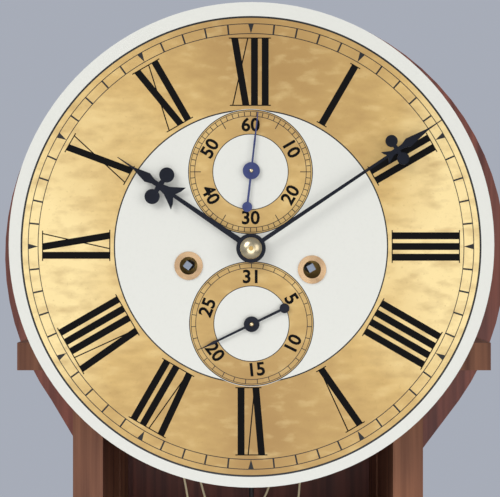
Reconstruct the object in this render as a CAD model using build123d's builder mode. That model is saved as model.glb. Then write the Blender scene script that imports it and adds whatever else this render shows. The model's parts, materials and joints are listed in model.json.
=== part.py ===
from build123d import *
import math
import os

os.makedirs("parts", exist_ok=True)

# An eight-day longcase clock with a round painted dial, standing with its hood off.
# Sizes in millimetres. The dial faces -Y, +X is to the viewer's right, and the floor is at Z 0.

# Case sizes
case_back = 125.0          # rear face of the backboard, measured from the middle of the base
board_thick = 12.0
trunk_width = 250.5
trunk_wall = 21.5
trunk_depth = 170.0        # side boards, front edge to backboard
frame_thick = 18.0
plinth_width = 340.0
plinth_wall = 18.0
plinth_top = 430.0
plinth_project = 38.0      # plinth front ahead of the trunk front
skirt_height = 84.0
skirt_thick = 12.0
skirt_arch = 34.0          # height of the cut-out between the bracket feet
foot_length = 62.0
floor_height = 60.0
floor_thick = 12.0
trunk_foot = 400.0         # where the trunk boards end inside the plinth
waist_height = 58.0
throat_height = 52.0
throat_project = 34.0
throat_drop = 235.0        # throat moulding's top below the dial centre
lining_width = 61.0
lining_thick = 1.2

# Backboard head
head_radius = 213.0
head_shift = 3.5           # centre of the round head, right of the dial centre
head_drop = 5.9            # and below it
flank_height = -123.4      # where the round head turns into its straight flanks
flank_end = -201.0         # where the flanks meet the trunk's width, from the dial centre

# Door
opening_width = 166.0
opening_foot = 556.0
opening_crown = 1486.0
opening_rise = 40.0        # rise of the arch at the door's head
door_gap = 1.0
door_lip = 9.0             # how far the moulded lip laps over the frame
lip_thick = 7.0
door_thick = 15.0
hinge_radius = 3.0
hinge_pin = 1.4
hinge_length = 62.0
hinge_inset = 150.0        # hinge middle from the door's ends
lock_height = 1050.0

# Seatboard
seat_half = 167.8
seat_shift = 2.1           # middle of the seatboard, right of the dial centre
seat_top = -67.0           # from the dial centre
seat_thick = 19.5
seat_depth = 130.0
seat_ahead = 9.0           # seatboard front edge ahead of the trunk sides

# Dial
dial_height = 1795.0       # dial centre above the floor
centre_shift = 2.2         # dial centre, right of the trunk's middle
dial_ahead = 45.0          # dial front ahead of the trunk sides
dial_radius = 165.0
dial_thick = 1.6
dial_offset = (0.34, 2.31)
dial_bore = 7.2
small_bore = 2.2
grommet_outer = 9.65
grommet_inner = 6.05
grommet_tube = 7.6
grommet_stand = 0.9

# Movement plates
plate_gap_ahead = 43.5     # front plate's face behind the dial's front
plate_thick = 3.0
plate_gap = 64.0
plate_width = 128.0
plate_foot = -67.0
plate_head = 98.0
pillar_radius = 3.6
pillar_places = ((-57.5, -60.0), (57.5, -60.0), (-50.0, 91.0), (54.0, 91.0))
bolt_radius = 2.6

# Arbors, as (x, z) from the dial centre
centre_at = (0.0, 0.0)
going_at = (41.05, -13.5)
strike_at = (-43.2, -11.8)
escape_at = (0.2, 52.5)
date_at = (0.4, -51.5)
hammer_at = (-58.0, 34.0)
arbor_radius = 1.3
pivot_radius = 0.8
centre_arbor = 1.5
seconds_arbor = 0.95
running = 0.05             # radial clearance of a shaft in its hole
end_shake = 0.3
clear = 0.3                # gap kept between pieces that move past each other

# Wheel and pinion counts
great_teeth = 96
centre_pinion = 8
centre_teeth = 60
third_pinion = 8
third_teeth = 56
escape_pinion = 7
escape_teeth = 30
strike_teeth = 78
pin_pinion = 8
pin_teeth = 56
gathering_pinion = 7
gathering_teeth = 56
warning_pinion = 7
warning_teeth = 49
fly_pinion = 7
cannon_teeth = 36
minute_teeth = 36
minute_pinion = 6
hour_teeth = 72
date_teeth = 62
ratchet_teeth = 20

# Tooth proportions, as shares of the module or of the pitch
wheel_tip = 0.9
wheel_root = 1.25
leaf_tip = 0.75
leaf_root = 1.45
leaf_low = 0.42
leaf_high = 0.18
slender = 2.7              # round work under this radius is drawn with eight flats

# Wheel sizes
wheel_thick = 2.0
great_thick = 2.8
centre_module = 0.87
third_module = 0.82
pin_module = 0.80
gathering_module = 0.75
warning_module = 0.70
motion_module = 0.90
escape_radius = 19.5
anchor_rise = 29.0         # anchor arbor above the escape arbor

# Depths behind the front plate's rear face
centre_wheel_depth = 3.5
barrel_start = 7.0
barrel_length = 36.0
ratchet_thick = 2.5
great_depth = 48.6
pin_wheel_depth = 54.0
pin_length = 6.0
third_depth = 27.0
gathering_depth = 35.0
warning_depth = 43.0
escape_depth = 58.5
fly_depth = 30.0
fly_length = 25.0
fly_radius = 15.0

# Barrels, lines, pulleys and weights
barrel_radius = 25.0
flange_radius = 27.2
ratchet_radius = 24.4
barrel_arbor = 3.0
square_side = 4.8
line_radius = 0.8
line_depth = 38.0          # where the line leaves the barrel, behind the front plate
pulley_centre = 22.5       # line's middle from the pulley's axis
pulley_rim = 24.6
pulley_width = 7.0
pulley_axle = 2.0
weight_radius = 26.0
weight_height = 226.0
weight_dome = 8.0
weight_travel = 1250.0
hanger = 50.0              # pulley axis above the weight's top

# Pendulum
pendulum_length = 994.0
pendulum_depth = 29.0      # pendulum plane behind the back plate
swing_height = 89.0        # where the suspension spring bends, from the dial centre
rod_radius = 1.9
bob_radius = 57.0
bob_thick = 34.0
nut_radius = 9.0
crutch_length = 112.0

# Hands
hand_thick = 1.2
hour_hand_ahead = 5.0
minute_hand_ahead = 10.0
small_hand_ahead = 2.4
hour_angle = -55.7
minute_angle = 56.1
seconds_angle = 6.5
date_angle = 244.1

# Places worked out from the sizes above
trunk_half = trunk_width / 2
plinth_half = plinth_width / 2
opening_half = opening_width / 2
board_face = case_back - board_thick
sides_front = board_face - trunk_depth
frame_front = sides_front - frame_thick
plinth_front = frame_front - plinth_project
skirt_front = plinth_front - skirt_thick
throat_top = dial_height - throat_drop
dial_front = sides_front - dial_ahead
dial_back = dial_front + dial_thick
front_face = dial_front + plate_gap_ahead
front_rear = front_face + plate_thick
back_face = front_rear + plate_gap
back_rear = back_face + plate_thick
pendulum_y = back_rear + pendulum_depth
seat_under = seat_top - seat_thick
seat_front = sides_front - seat_ahead
line_y = front_rear + line_depth
anchor_at = (escape_at[0], escape_at[1] + anchor_rise)
centre_distance = math.dist(centre_at, going_at)
great_module = 2 * centre_distance / (great_teeth + centre_pinion)
motion_distance = motion_module * (cannon_teeth + minute_teeth) / 2
hour_module = 2 * motion_distance / (minute_pinion + hour_teeth)
bob_height = swing_height - pendulum_length
weight_foot = floor_height + floor_thick + clear
pulley_height = weight_foot + weight_height + hanger


def reach(start, distance, degrees):
    """The point at a distance and a bearing from start, anticlockwise from the right."""
    angle = math.radians(degrees)
    return (start[0] + distance * math.cos(angle), start[1] + distance * math.sin(angle))


def meet(first, first_distance, second, second_distance, side):
    """The point at two distances from two others, to one side of the line between them."""
    span = math.dist(first, second)
    along = (first_distance**2 - second_distance**2 + span**2) / (2 * span)
    across = side * math.sqrt(first_distance**2 - along**2)
    ux, uz = (second[0] - first[0]) / span, (second[1] - first[1]) / span
    return (first[0] + along * ux - across * uz, first[1] + along * uz + across * ux)


def bearing(start, end):
    """Degrees of the direction from one arbor to another."""
    return math.degrees(math.atan2(end[1] - start[1], end[0] - start[0]))


def pair_distance(module, wheel, pinion):
    """Centre distance of a wheel and its pinion."""
    return module * (wheel + pinion) / 2


third_at = meet(
    centre_at,
    pair_distance(centre_module, centre_teeth, third_pinion),
    escape_at,
    pair_distance(third_module, third_teeth, escape_pinion),
    -1,
)
pin_at = reach(strike_at, pair_distance(great_module, strike_teeth, pin_pinion), 65)
gathering_at = reach(pin_at, pair_distance(pin_module, pin_teeth, gathering_pinion), 80)
warning_at = reach(gathering_at, pair_distance(gathering_module, gathering_teeth, warning_pinion), 140)
fly_at = reach(warning_at, pair_distance(warning_module, warning_teeth, fly_pinion), 60)
minute_at = reach(centre_at, motion_distance, 40)
rack_at = (-30.0, -44.0)
hook_at = (-50.0, 62.0)
lifting_at = (50.0, 44.0)


def facing(depth, place=(0.0, 0.0)):
    """A plane facing the viewer at a depth, with its origin at a place on the movement."""
    return Plane(
        origin=(centre_shift + place[0], depth, dial_height + place[1]),
        x_dir=(1, 0, 0),
        z_dir=(0, -1, 0),
    )


def behind(depth, place=(0.0, 0.0)):
    """The same, at a depth behind the front plate's rear face."""
    return facing(front_rear + depth, place)


def ahead(depth, place=(0.0, 0.0)):
    """The same, at a depth ahead of the front plate's face."""
    return facing(front_face - depth, place)


def polar(radius, angle):
    return (radius * math.cos(angle), radius * math.sin(angle))


def wheel_outline(teeth, module, toward):
    """Pointed teeth, one of them pointing toward the mating pinion."""
    radius = teeth * module / 2
    low, high = radius - wheel_root * module, radius + wheel_tip * module
    points = []
    for k in range(teeth):
        angle = math.radians(toward) + 2 * math.pi * k / teeth
        points += [polar(high, angle), polar(low, angle + math.pi / teeth)]
    return points


def pinion_outline(leaves, module, toward):
    """Blunt leaves, with a gap pointing toward the mating wheel."""
    radius = leaves * module / 2
    low, high = radius - leaf_root * module, radius + leaf_tip * module
    wide, narrow = leaf_low * math.pi / leaves, leaf_high * math.pi / leaves
    points = []
    for k in range(leaves):
        angle = math.radians(toward) + math.pi * (2 * k + 1) / leaves
        points += [
            polar(low, angle - wide),
            polar(high, angle - narrow),
            polar(high, angle + narrow),
            polar(low, angle + wide),
        ]
    return points


def saw_outline(teeth, tip, root, lean):
    """Saw teeth, each leaning by a share of its pitch."""
    points = []
    for k in range(teeth):
        angle = 2 * math.pi * k / teeth
        points += [polar(root, angle), polar(tip, angle + lean * 2 * math.pi / teeth)]
    return points


def outline(points, plane, thick):
    """Extrude a closed outline toward the viewer."""
    with BuildSketch(plane) as shape:
        with BuildLine():
            Polyline(*points, close=True)
        make_face()
    extrude(shape.sketch, amount=thick)


def section(radius, mode=Mode.ADD):
    """A round section, or one of eight flats for a slender piece, to keep the facets few."""
    if radius < slender:
        RegularPolygon(radius, 8, major_radius=mode == Mode.ADD, mode=mode)
    else:
        Circle(radius, mode=mode)


def disc(plane, radius, thick, mode=Mode.ADD):
    """A round bar, or a round hole, from a plane toward the viewer."""
    with BuildSketch(plane) as shape:
        if mode == Mode.ADD:
            section(radius)
        elif radius < slender:
            RegularPolygon(radius, 8, major_radius=False)
        else:
            Circle(radius)
    extrude(shape.sketch, amount=thick, mode=mode)


def crossings(plane, rim, hub, thick, arm=2.6):
    """The four openings between a wheel's rim, hub and arms."""
    with BuildSketch(plane) as shape:
        Circle(rim)
        Circle(hub, mode=Mode.SUBTRACT)
        Rectangle(2 * rim + 1, arm, mode=Mode.SUBTRACT)
        Rectangle(arm, 2 * rim + 1, mode=Mode.SUBTRACT)
    extrude(shape.sketch, amount=thick, mode=Mode.SUBTRACT)


def crossed_wheel(depth, place, teeth, module, mate, thick=wheel_thick):
    """A crossed-out wheel behind the front plate, in mesh with the pinion at mate."""
    outline(wheel_outline(teeth, module, bearing(place, mate)), behind(depth, place), thick)
    rim = teeth * module / 2 - 3.2 * module
    crossings(behind(depth, place), rim, 4.6, thick)


def leaved_pinion(depth, place, leaves, module, mate, thick):
    """A pinion behind the front plate, in mesh with the wheel at mate."""
    outline(pinion_outline(leaves, module, bearing(place, mate)), behind(depth, place), thick)


def spindle(place, radius=arbor_radius, pivot=pivot_radius):
    """An arbor between the plates, with a pivot through each."""
    disc(behind(plate_gap - end_shake, place), radius, plate_gap - 2 * end_shake)
    disc(behind(plate_gap + plate_thick, place), pivot, plate_gap + 2 * plate_thick)


def write(piece, name):
    """Label a finished piece and write its file."""
    piece.part.label = name
    export_step(piece.part, f"parts/{name}.step")


# Case: backboard with its round head, one board down to the floor
with BuildPart() as backboard:
    head_x = centre_shift + head_shift
    head_z = dial_height - head_drop
    flank_half = math.sqrt(head_radius**2 - flank_height**2)
    with BuildSketch(Plane(origin=(0, case_back, 0), x_dir=(1, 0, 0), z_dir=(0, -1, 0))):
        with BuildLine():
            Polyline(
                (head_x - flank_half, head_z + flank_height),
                (-trunk_half, dial_height + flank_end),
                (-trunk_half, plinth_top),
                (-plinth_half, plinth_top),
                (-plinth_half, skirt_arch),
                (plinth_half, skirt_arch),
                (plinth_half, plinth_top),
                (trunk_half, plinth_top),
                (trunk_half, dial_height + flank_end),
                (head_x + flank_half, head_z + flank_height),
            )
            ThreePointArc(
                (head_x + flank_half, head_z + flank_height),
                (head_x, head_z + head_radius),
                (head_x - flank_half, head_z + flank_height),
            )
        make_face()
    extrude(amount=board_thick)
write(backboard, "backboard")

# Trunk sides, standing on up to the seatboard as the two cheeks
side_height = dial_height + seat_under - trunk_foot
with BuildPart() as trunk_sides:
    with BuildSketch(Plane.XY.offset(trunk_foot)):
        with Locations(
            (trunk_wall / 2 - trunk_half, sides_front + trunk_depth / 2),
            (trunk_half - trunk_wall / 2, sides_front + trunk_depth / 2),
        ):
            Rectangle(trunk_wall, trunk_depth)
    extrude(amount=side_height)
write(trunk_sides, "trunk_sides")

# Lining strips in the rear corners of the trunk
with BuildPart() as lining_strips:
    strip_x = trunk_half - trunk_wall - lining_thick / 2
    with BuildSketch(Plane.XY.offset(trunk_foot)):
        with Locations(
            (-strip_x, board_face - lining_width / 2),
            (strip_x, board_face - lining_width / 2),
        ):
            Rectangle(lining_thick, lining_width)
    extrude(amount=side_height)
write(lining_strips, "lining_strips")


def arched(half, foot, crown, rise):
    """An upright panel with a segmental arched head."""
    with BuildLine() as edge:
        Polyline((half, crown - rise), (half, foot), (-half, foot), (-half, crown - rise))
        ThreePointArc((-half, crown - rise), (0, crown), (half, crown - rise))
    make_face(edge.edges())


# Trunk front: stiles and rails round the door opening
with BuildPart() as trunk_front:
    with BuildSketch(Plane(origin=(0, sides_front, 0), x_dir=(1, 0, 0), z_dir=(0, -1, 0))):
        with Locations((0, (trunk_foot + throat_top) / 2)):
            Rectangle(trunk_width, throat_top - trunk_foot)
    extrude(amount=frame_thick)
    with BuildSketch(Plane(origin=(0, sides_front, 0), x_dir=(1, 0, 0), z_dir=(0, -1, 0))):
        arched(opening_half, opening_foot, opening_crown, opening_rise)
    extrude(amount=frame_thick, mode=Mode.SUBTRACT)
write(trunk_front, "trunk_front")

# Trunk door: a panel in the opening, with a moulded lip over the frame
lip_back = frame_front - clear
lip_front = lip_back - lip_thick
door_back = lip_front + door_thick
with BuildPart() as trunk_door:
    with BuildSketch(Plane(origin=(0, door_back, 0), x_dir=(1, 0, 0), z_dir=(0, -1, 0))):
        arched(
            opening_half - door_gap,
            opening_foot + door_gap,
            opening_crown - door_gap,
            opening_rise,
        )
    extrude(amount=door_thick - 1)
    with BuildSketch(Plane(origin=(0, lip_back, 0), x_dir=(1, 0, 0), z_dir=(0, -1, 0))):
        arched(
            opening_half + door_lip,
            opening_foot - door_lip,
            opening_crown + door_lip,
            opening_rise,
        )
    extrude(amount=lip_thick)
    fillet(trunk_door.faces().sort_by(Axis.Y)[0].outer_wire().edges(), radius=3.5)
write(trunk_door, "trunk_door")

# Lift-off door hinges: a fixed pin in front of the frame, and a knuckle on the door above it
pin_x = opening_half + door_lip + hinge_radius + 2 * clear
pin_y = lip_front + hinge_radius
hinge_heights = (opening_foot + hinge_inset, opening_crown - opening_rise - hinge_inset)
with BuildPart() as hinge_leaves:
    for height in hinge_heights:
        with BuildSketch(Plane.XY.offset(height - hinge_length / 2)):
            with Locations((pin_x, pin_y)):
                Circle(hinge_radius)
            with Locations((pin_x + 1.0, (frame_front + pin_y) / 2)):
                Rectangle(2.0, frame_front - pin_y)
            with Locations((pin_x + 9.0, frame_front - 0.75)):
                Rectangle(18.0, 1.5)
        extrude(amount=hinge_length / 2 - clear / 2)
        with BuildSketch(Plane.XY.offset(height - 5)):
            with Locations((pin_x, pin_y)):
                section(hinge_pin)
        extrude(amount=hinge_length / 2)
write(hinge_leaves, "hinge_leaves")

with BuildPart() as hinge_knuckles:
    for height in hinge_heights:
        with BuildSketch(Plane.XY.offset(height + clear / 2)):
            with Locations((pin_x, pin_y)):
                Circle(hinge_radius)
            with Locations((opening_half + door_lip + 0.75, (lip_back + lip_front) / 2)):
                Rectangle(1.5, lip_thick - 1.0)
            with Locations((pin_x, pin_y)):
                section(hinge_pin + running, Mode.SUBTRACT)
        extrude(amount=hinge_length / 2 - clear / 2)
write(hinge_knuckles, "hinge_knuckles")

# Door lock: a box on the door's back and a keyhole plate on its front
lock_x = 24.0 - opening_half
with BuildPart() as door_lock:
    with BuildSketch(facing(door_back + 10, (lock_x - centre_shift, lock_height - dial_height))):
        Rectangle(38, 60)
    extrude(amount=10)
    with BuildSketch(facing(lip_front, (lock_x - centre_shift - 8, lock_height - dial_height))):
        Ellipse(7, 12)
        with Locations((0, 3)):
            Circle(2.2, mode=Mode.SUBTRACT)
        with Locations((0, -1.5)):
            Rectangle(2.0, 8, mode=Mode.SUBTRACT)
    extrude(amount=1.2)
write(door_lock, "door_lock")


def moulding_path(half, front, back, height):
    """Three sides of a moulding, from the back on the left round to the back on the right."""
    return Polyline(
        (-half, back, height), (-half, front, height), (half, front, height), (half, back, height)
    )


# Throat moulding under the hood: a fillet, a cove and a bead
with BuildPart() as throat_moulding:
    with BuildLine() as throat_path:
        moulding_path(trunk_half, frame_front, board_face, throat_top)
    throat_start = Plane(origin=(-trunk_half, board_face, throat_top), x_dir=(-1, 0, 0), z_dir=(0, 1, 0))
    with BuildSketch(throat_start):
        with BuildLine():
            Polyline(
                (5, -throat_height),
                (0, -throat_height),
                (0, 0),
                (throat_project, 0),
                (throat_project, -9),
                (throat_project - 4, -9),
            )
            RadiusArc((throat_project - 4, -9), (8, -throat_height + 8), 34)
            Polyline((8, -throat_height + 8), (8, -throat_height + 5), (5, -throat_height))
        make_face()
    sweep(path=throat_path.line, transition=Transition.RIGHT)
write(throat_moulding, "throat_moulding")

# Waist moulding: a hollow that widens the trunk to the plinth
waist_project = plinth_half - trunk_half
with BuildPart() as waist_moulding:
    with BuildLine() as waist_path:
        moulding_path(trunk_half, frame_front, board_face, plinth_top)
    waist_start = Plane(origin=(-trunk_half, board_face, plinth_top), x_dir=(-1, 0, 0), z_dir=(0, 1, 0))
    with BuildSketch(waist_start):
        with BuildLine():
            Polyline(
                (waist_project - 4, 8),
                (waist_project - 4, 6),
                (waist_project, 6),
                (waist_project, 0),
                (0, 0),
                (0, waist_height),
                (3, waist_height),
                (3, waist_height - 6),
            )
            RadiusArc((3, waist_height - 6), (waist_project - 4, 8), -44)
        make_face()
    sweep(path=waist_path.line, transition=Transition.RIGHT)
write(waist_moulding, "waist_moulding")

# Plinth: front, two sides and the floor board
with BuildPart() as plinth:
    with BuildSketch(Plane.XY.offset(skirt_arch)):
        with Locations((0, plinth_front + plinth_wall / 2)):
            Rectangle(plinth_width, plinth_wall)
        side_length = board_face - plinth_front - plinth_wall
        with Locations(
            (plinth_wall / 2 - plinth_half, board_face - side_length / 2),
            (plinth_half - plinth_wall / 2, board_face - side_length / 2),
        ):
            Rectangle(plinth_wall, side_length)
    extrude(amount=plinth_top - skirt_arch)
    with BuildSketch(Plane.XY.offset(floor_height)):
        with Locations((0, (plinth_front + plinth_wall + board_face) / 2)):
            Rectangle(plinth_width - 2 * plinth_wall, board_face - plinth_front - plinth_wall)
    extrude(amount=floor_thick)
write(plinth, "plinth")

# Skirting with bracket feet, round the front and sides
with BuildPart() as skirting:
    skirt_half = plinth_half + skirt_thick
    skirt_depth = case_back - skirt_front
    with BuildSketch(Plane.XY):
        with Locations((0, (skirt_front + case_back) / 2)):
            Rectangle(2 * skirt_half, skirt_depth)
        with Locations((0, (plinth_front + case_back) / 2 + skirt_thick)):
            Rectangle(plinth_width, case_back - plinth_front + 2 * skirt_thick, mode=Mode.SUBTRACT)
    extrude(amount=skirt_height)
    with BuildSketch(Plane(origin=(0, case_back, 0), x_dir=(1, 0, 0), z_dir=(0, -1, 0))):
        with BuildLine():
            gap = skirt_half - foot_length
            Line((-gap, 0), (gap, 0))
            Line((gap, 0), (gap - 12, skirt_arch - 6))
            ThreePointArc((gap - 12, skirt_arch - 6), (0, skirt_arch), (12 - gap, skirt_arch - 6))
            Line((12 - gap, skirt_arch - 6), (-gap, 0))
        make_face()
    extrude(amount=skirt_depth, mode=Mode.SUBTRACT)
    with BuildSketch(Plane.YZ.offset(-skirt_half)):
        with BuildLine():
            near, far = skirt_front + foot_length, case_back - foot_length
            Polyline(
                (near, 0), (near + 10, skirt_arch - 6), (far - 10, skirt_arch - 6), (far, 0), close=True
            )
        make_face()
    extrude(amount=2 * skirt_half, mode=Mode.SUBTRACT)
    top_edges = skirting.faces().filter_by(GeomType.PLANE).sort_by(Axis.Z)[-1].edges()
    outer_edges = top_edges.filter_by(
        lambda edge: abs(edge.center().X) > skirt_half - 1 or edge.center().Y < skirt_front + 1
    )
    chamfer(outer_edges, length=6)
write(skirting, "skirting")

# Seatboard: slots for the lines, tie holes, bolt holes and a slot for the pendulum
slot_x = [place[0] - barrel_radius - line_radius for place in (strike_at, going_at)]
tie_x = (-50.5, 44.0)
slot_start = front_rear + barrel_start
slot_end = front_rear + barrel_start + barrel_length
seat_rear = seat_front + seat_depth
bolt_y = (front_rear + back_face) / 2
bolt_places = [place for place in pillar_places if place[1] < 0]
with BuildPart() as seatboard:
    with BuildSketch(Plane.XY.offset(dial_height + seat_under)):
        with Locations((centre_shift + seat_shift, seat_front + seat_depth / 2)):
            Rectangle(2 * seat_half, seat_depth)
        for x in slot_x:
            with Locations((centre_shift + x, (slot_start + slot_end) / 2)):
                Rectangle(12, slot_end - slot_start + 6, mode=Mode.SUBTRACT)
        for x in tie_x:
            with Locations((centre_shift + x, line_y)):
                section(2.5, Mode.SUBTRACT)
        for place in bolt_places:
            with Locations((centre_shift + place[0], bolt_y)):
                section(bolt_radius + running, Mode.SUBTRACT)
        with Locations((centre_shift, seat_rear - 18)):
            Rectangle(30, 37, mode=Mode.SUBTRACT)
    extrude(amount=seat_thick)
write(seatboard, "seatboard")

# Seat bolts, up into the bottom pillars
bolt_bite = 2.6
with BuildPart() as seat_bolts:
    for place in bolt_places:
        with BuildSketch(Plane.XY.offset(dial_height + seat_under - 5)):
            with Locations((centre_shift + place[0], bolt_y)):
                RegularPolygon(7, 6)
        extrude(amount=5)
        with BuildSketch(Plane.XY.offset(dial_height + seat_under - 1)):
            with Locations((centre_shift + place[0], bolt_y)):
                section(bolt_radius)
        extrude(amount=1 + place[1] - seat_under - pillar_radius + bolt_bite - 0.1)
write(seat_bolts, "seat_bolts")

# Front plate, with pivot holes and the studs of the motion work
plain_pivots = (third_at, pin_at, warning_at, fly_at, hammer_at, anchor_at)
stud_radius = 1.5
minute_stud = 0.7
levers = ((rack_at, 20.0), (hook_at, 13.0), (lifting_at, 9.5))
with BuildPart() as front_plate:
    with BuildSketch(facing(front_rear)):
        with Locations((0, (plate_foot + plate_head) / 2)):
            Rectangle(plate_width, plate_head - plate_foot)
        with Locations(*plain_pivots):
            section(pivot_radius + running, Mode.SUBTRACT)
        with Locations(centre_at):
            section(centre_arbor + running, Mode.SUBTRACT)
        with Locations(escape_at, gathering_at):
            section(seconds_arbor + running, Mode.SUBTRACT)
        with Locations(going_at, strike_at):
            section(barrel_arbor + running, Mode.SUBTRACT)
    extrude(amount=plate_thick)
    for place, length in levers:
        disc(facing(front_face, place), stud_radius, length)
    disc(facing(front_face, minute_at), minute_stud, 18)
write(front_plate, "front_plate")

# Back plate with its four riveted pillars
with BuildPart() as back_plate:
    with BuildSketch(facing(back_rear)):
        with Locations((0, (plate_foot + plate_head) / 2)):
            Rectangle(plate_width, plate_head - plate_foot)
        with Locations(*plain_pivots[:-1], centre_at, escape_at, gathering_at):
            section(pivot_radius + running, Mode.SUBTRACT)
        with Locations(going_at, strike_at):
            section(2.0 + running, Mode.SUBTRACT)
        with Locations(anchor_at):
            Circle(4.0, mode=Mode.SUBTRACT)
    extrude(amount=plate_thick)
    for place in pillar_places:
        disc(facing(back_face, place), pillar_radius, plate_gap)
    for place in bolt_places:
        with BuildSketch(Plane.XY.offset(dial_height + place[1] - pillar_radius - 2)):
            with Locations((centre_shift + place[0], bolt_y)):
                section(bolt_radius)
        extrude(amount=2 + bolt_bite, mode=Mode.SUBTRACT)
write(back_plate, "back_plate")

# Dial: a round iron sheet with its feet, holes for the hands and the winding squares
hole_at = ((-42.4, -11.9), (41.45, -14.5))
dial_feet = ((54.0, 78.0), (-54.0, 78.0), (58.0, -56.0), (-58.0, -56.0))
with BuildPart() as dial:
    with BuildSketch(facing(dial_back)):
        with Locations(dial_offset):
            Circle(dial_radius)
        Circle(dial_bore, mode=Mode.SUBTRACT)
        with Locations(escape_at, date_at):
            section(small_bore, Mode.SUBTRACT)
        with Locations(*hole_at):
            Circle(grommet_tube, mode=Mode.SUBTRACT)
    extrude(amount=dial_thick)
    for place in dial_feet:
        disc(facing(front_face, place), 3.0, front_face - dial_back)
write(dial, "dial")

with BuildPart() as winding_grommets:
    for place in hole_at:
        disc(facing(dial_back + 1.5, place), grommet_tube - running, dial_thick + 1.5)
        disc(facing(dial_front, place), grommet_outer, grommet_stand)
        disc(facing(dial_back + 1.5, place), grommet_inner, 6, mode=Mode.SUBTRACT)
write(winding_grommets, "winding_grommets")


# Going train
def great_wheel(place, teeth, mate):
    """A great wheel, loose on its barrel arbor, with the click's stud."""
    outline(
        wheel_outline(teeth, great_module, bearing(place, mate)),
        behind(great_depth, place),
        great_thick,
    )
    rim = teeth * great_module / 2 - 4.2 * great_module
    crossings(behind(great_depth, place), rim, 9.0, great_thick, arm=5.0)
    disc(behind(great_depth, place), barrel_arbor + running, great_thick, mode=Mode.SUBTRACT)
    disc(behind(great_depth - great_thick, (place[0], place[1] + click_rise)), 1.5, ratchet_thick)


click_rise = ratchet_radius + 4.2


def barrel(place, turned):
    """A barrel with its flanges, ratchet, arbor and winding square."""
    start, end = barrel_start, barrel_start + barrel_length
    disc(behind(end, place), barrel_radius, barrel_length)
    disc(behind(start + 1.6, place), flange_radius, 1.6)
    disc(behind(end, place), flange_radius, 1.6)
    outline(
        saw_outline(ratchet_teeth, ratchet_radius, ratchet_radius - 2.2, 0.86),
        behind(end + ratchet_thick, place),
        ratchet_thick,
    )
    disc(behind(plate_gap - end_shake, place), barrel_arbor, plate_gap - end_shake + plate_thick)
    disc(behind(plate_gap + plate_thick, place), 2.0, plate_thick + 1)
    square_length = front_face - dial_front - 3.0
    with BuildSketch(facing(front_face, place)) as square:
        Rectangle(square_side, square_side, rotation=turned)
    extrude(square.sketch, amount=square_length)


def click(place):
    """A click on its stud, its beak just clear of the ratchet's teeth."""
    beak = ratchet_radius + clear
    points = (
        (3.4, click_rise + 1.0),
        (2.0, click_rise + 3.4),
        (-3.0, click_rise + 3.2),
        (-13.0, beak + 0.6),
        (-14.2, math.sqrt(beak**2 - 14.2**2) + 0.4),
        (-12.0, math.sqrt(beak**2 - 12.0**2) + 0.6),
        (-3.0, click_rise - 2.8),
        (2.0, click_rise - 3.2),
    )
    outline(points, behind(great_depth - great_thick - 0.2, place), ratchet_thick - 0.4)
    click_place = (place[0], place[1] + click_rise)
    disc(behind(great_depth - great_thick, click_place), 1.5 + running, 4, mode=Mode.SUBTRACT)


with BuildPart() as going_great_wheel:
    great_wheel(going_at, great_teeth, centre_at)
write(going_great_wheel, "going_great_wheel")

with BuildPart() as going_barrel:
    barrel(going_at, 29)
write(going_barrel, "going_barrel")

with BuildPart() as going_click:
    click(going_at)
write(going_click, "going_click")

pinion_length = 5.0
with BuildPart() as centre_wheel:
    crossed_wheel(centre_wheel_depth, centre_at, centre_teeth, centre_module, third_at)
    leaved_pinion(great_depth + 1, centre_at, centre_pinion, great_module, going_at, pinion_length)
    arbor_end = front_face - dial_front + minute_hand_ahead + hand_thick + 3.9
    disc(behind(plate_gap - end_shake, centre_at), centre_arbor, plate_gap - end_shake + plate_thick + arbor_end)
    disc(behind(plate_gap + plate_thick, centre_at), pivot_radius, plate_thick + 1)
write(centre_wheel, "centre_wheel")

with BuildPart() as third_wheel:
    spindle(third_at)
    crossed_wheel(third_depth, third_at, third_teeth, third_module, escape_at)
    leaved_pinion(centre_wheel_depth + 1, third_at, third_pinion, centre_module, centre_at, 4)
write(third_wheel, "third_wheel")

with BuildPart() as escape_wheel:
    spindle(escape_at)
    seconds_end = front_face - dial_front + small_hand_ahead + 1.4
    disc(behind(1, escape_at), seconds_arbor, 1 + plate_thick + seconds_end)
    leaved_pinion(third_depth + 1.5, escape_at, escape_pinion, third_module, third_at, 5)
    escape_outline = saw_outline(escape_teeth, escape_radius, escape_radius - 3.4, 0.30)
    outline(escape_outline, behind(escape_depth, escape_at), 1.5)
    crossings(behind(escape_depth, escape_at), escape_radius - 5.6, 4.2, 1.5, arm=2.2)
write(escape_wheel, "escape_wheel")

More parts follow.
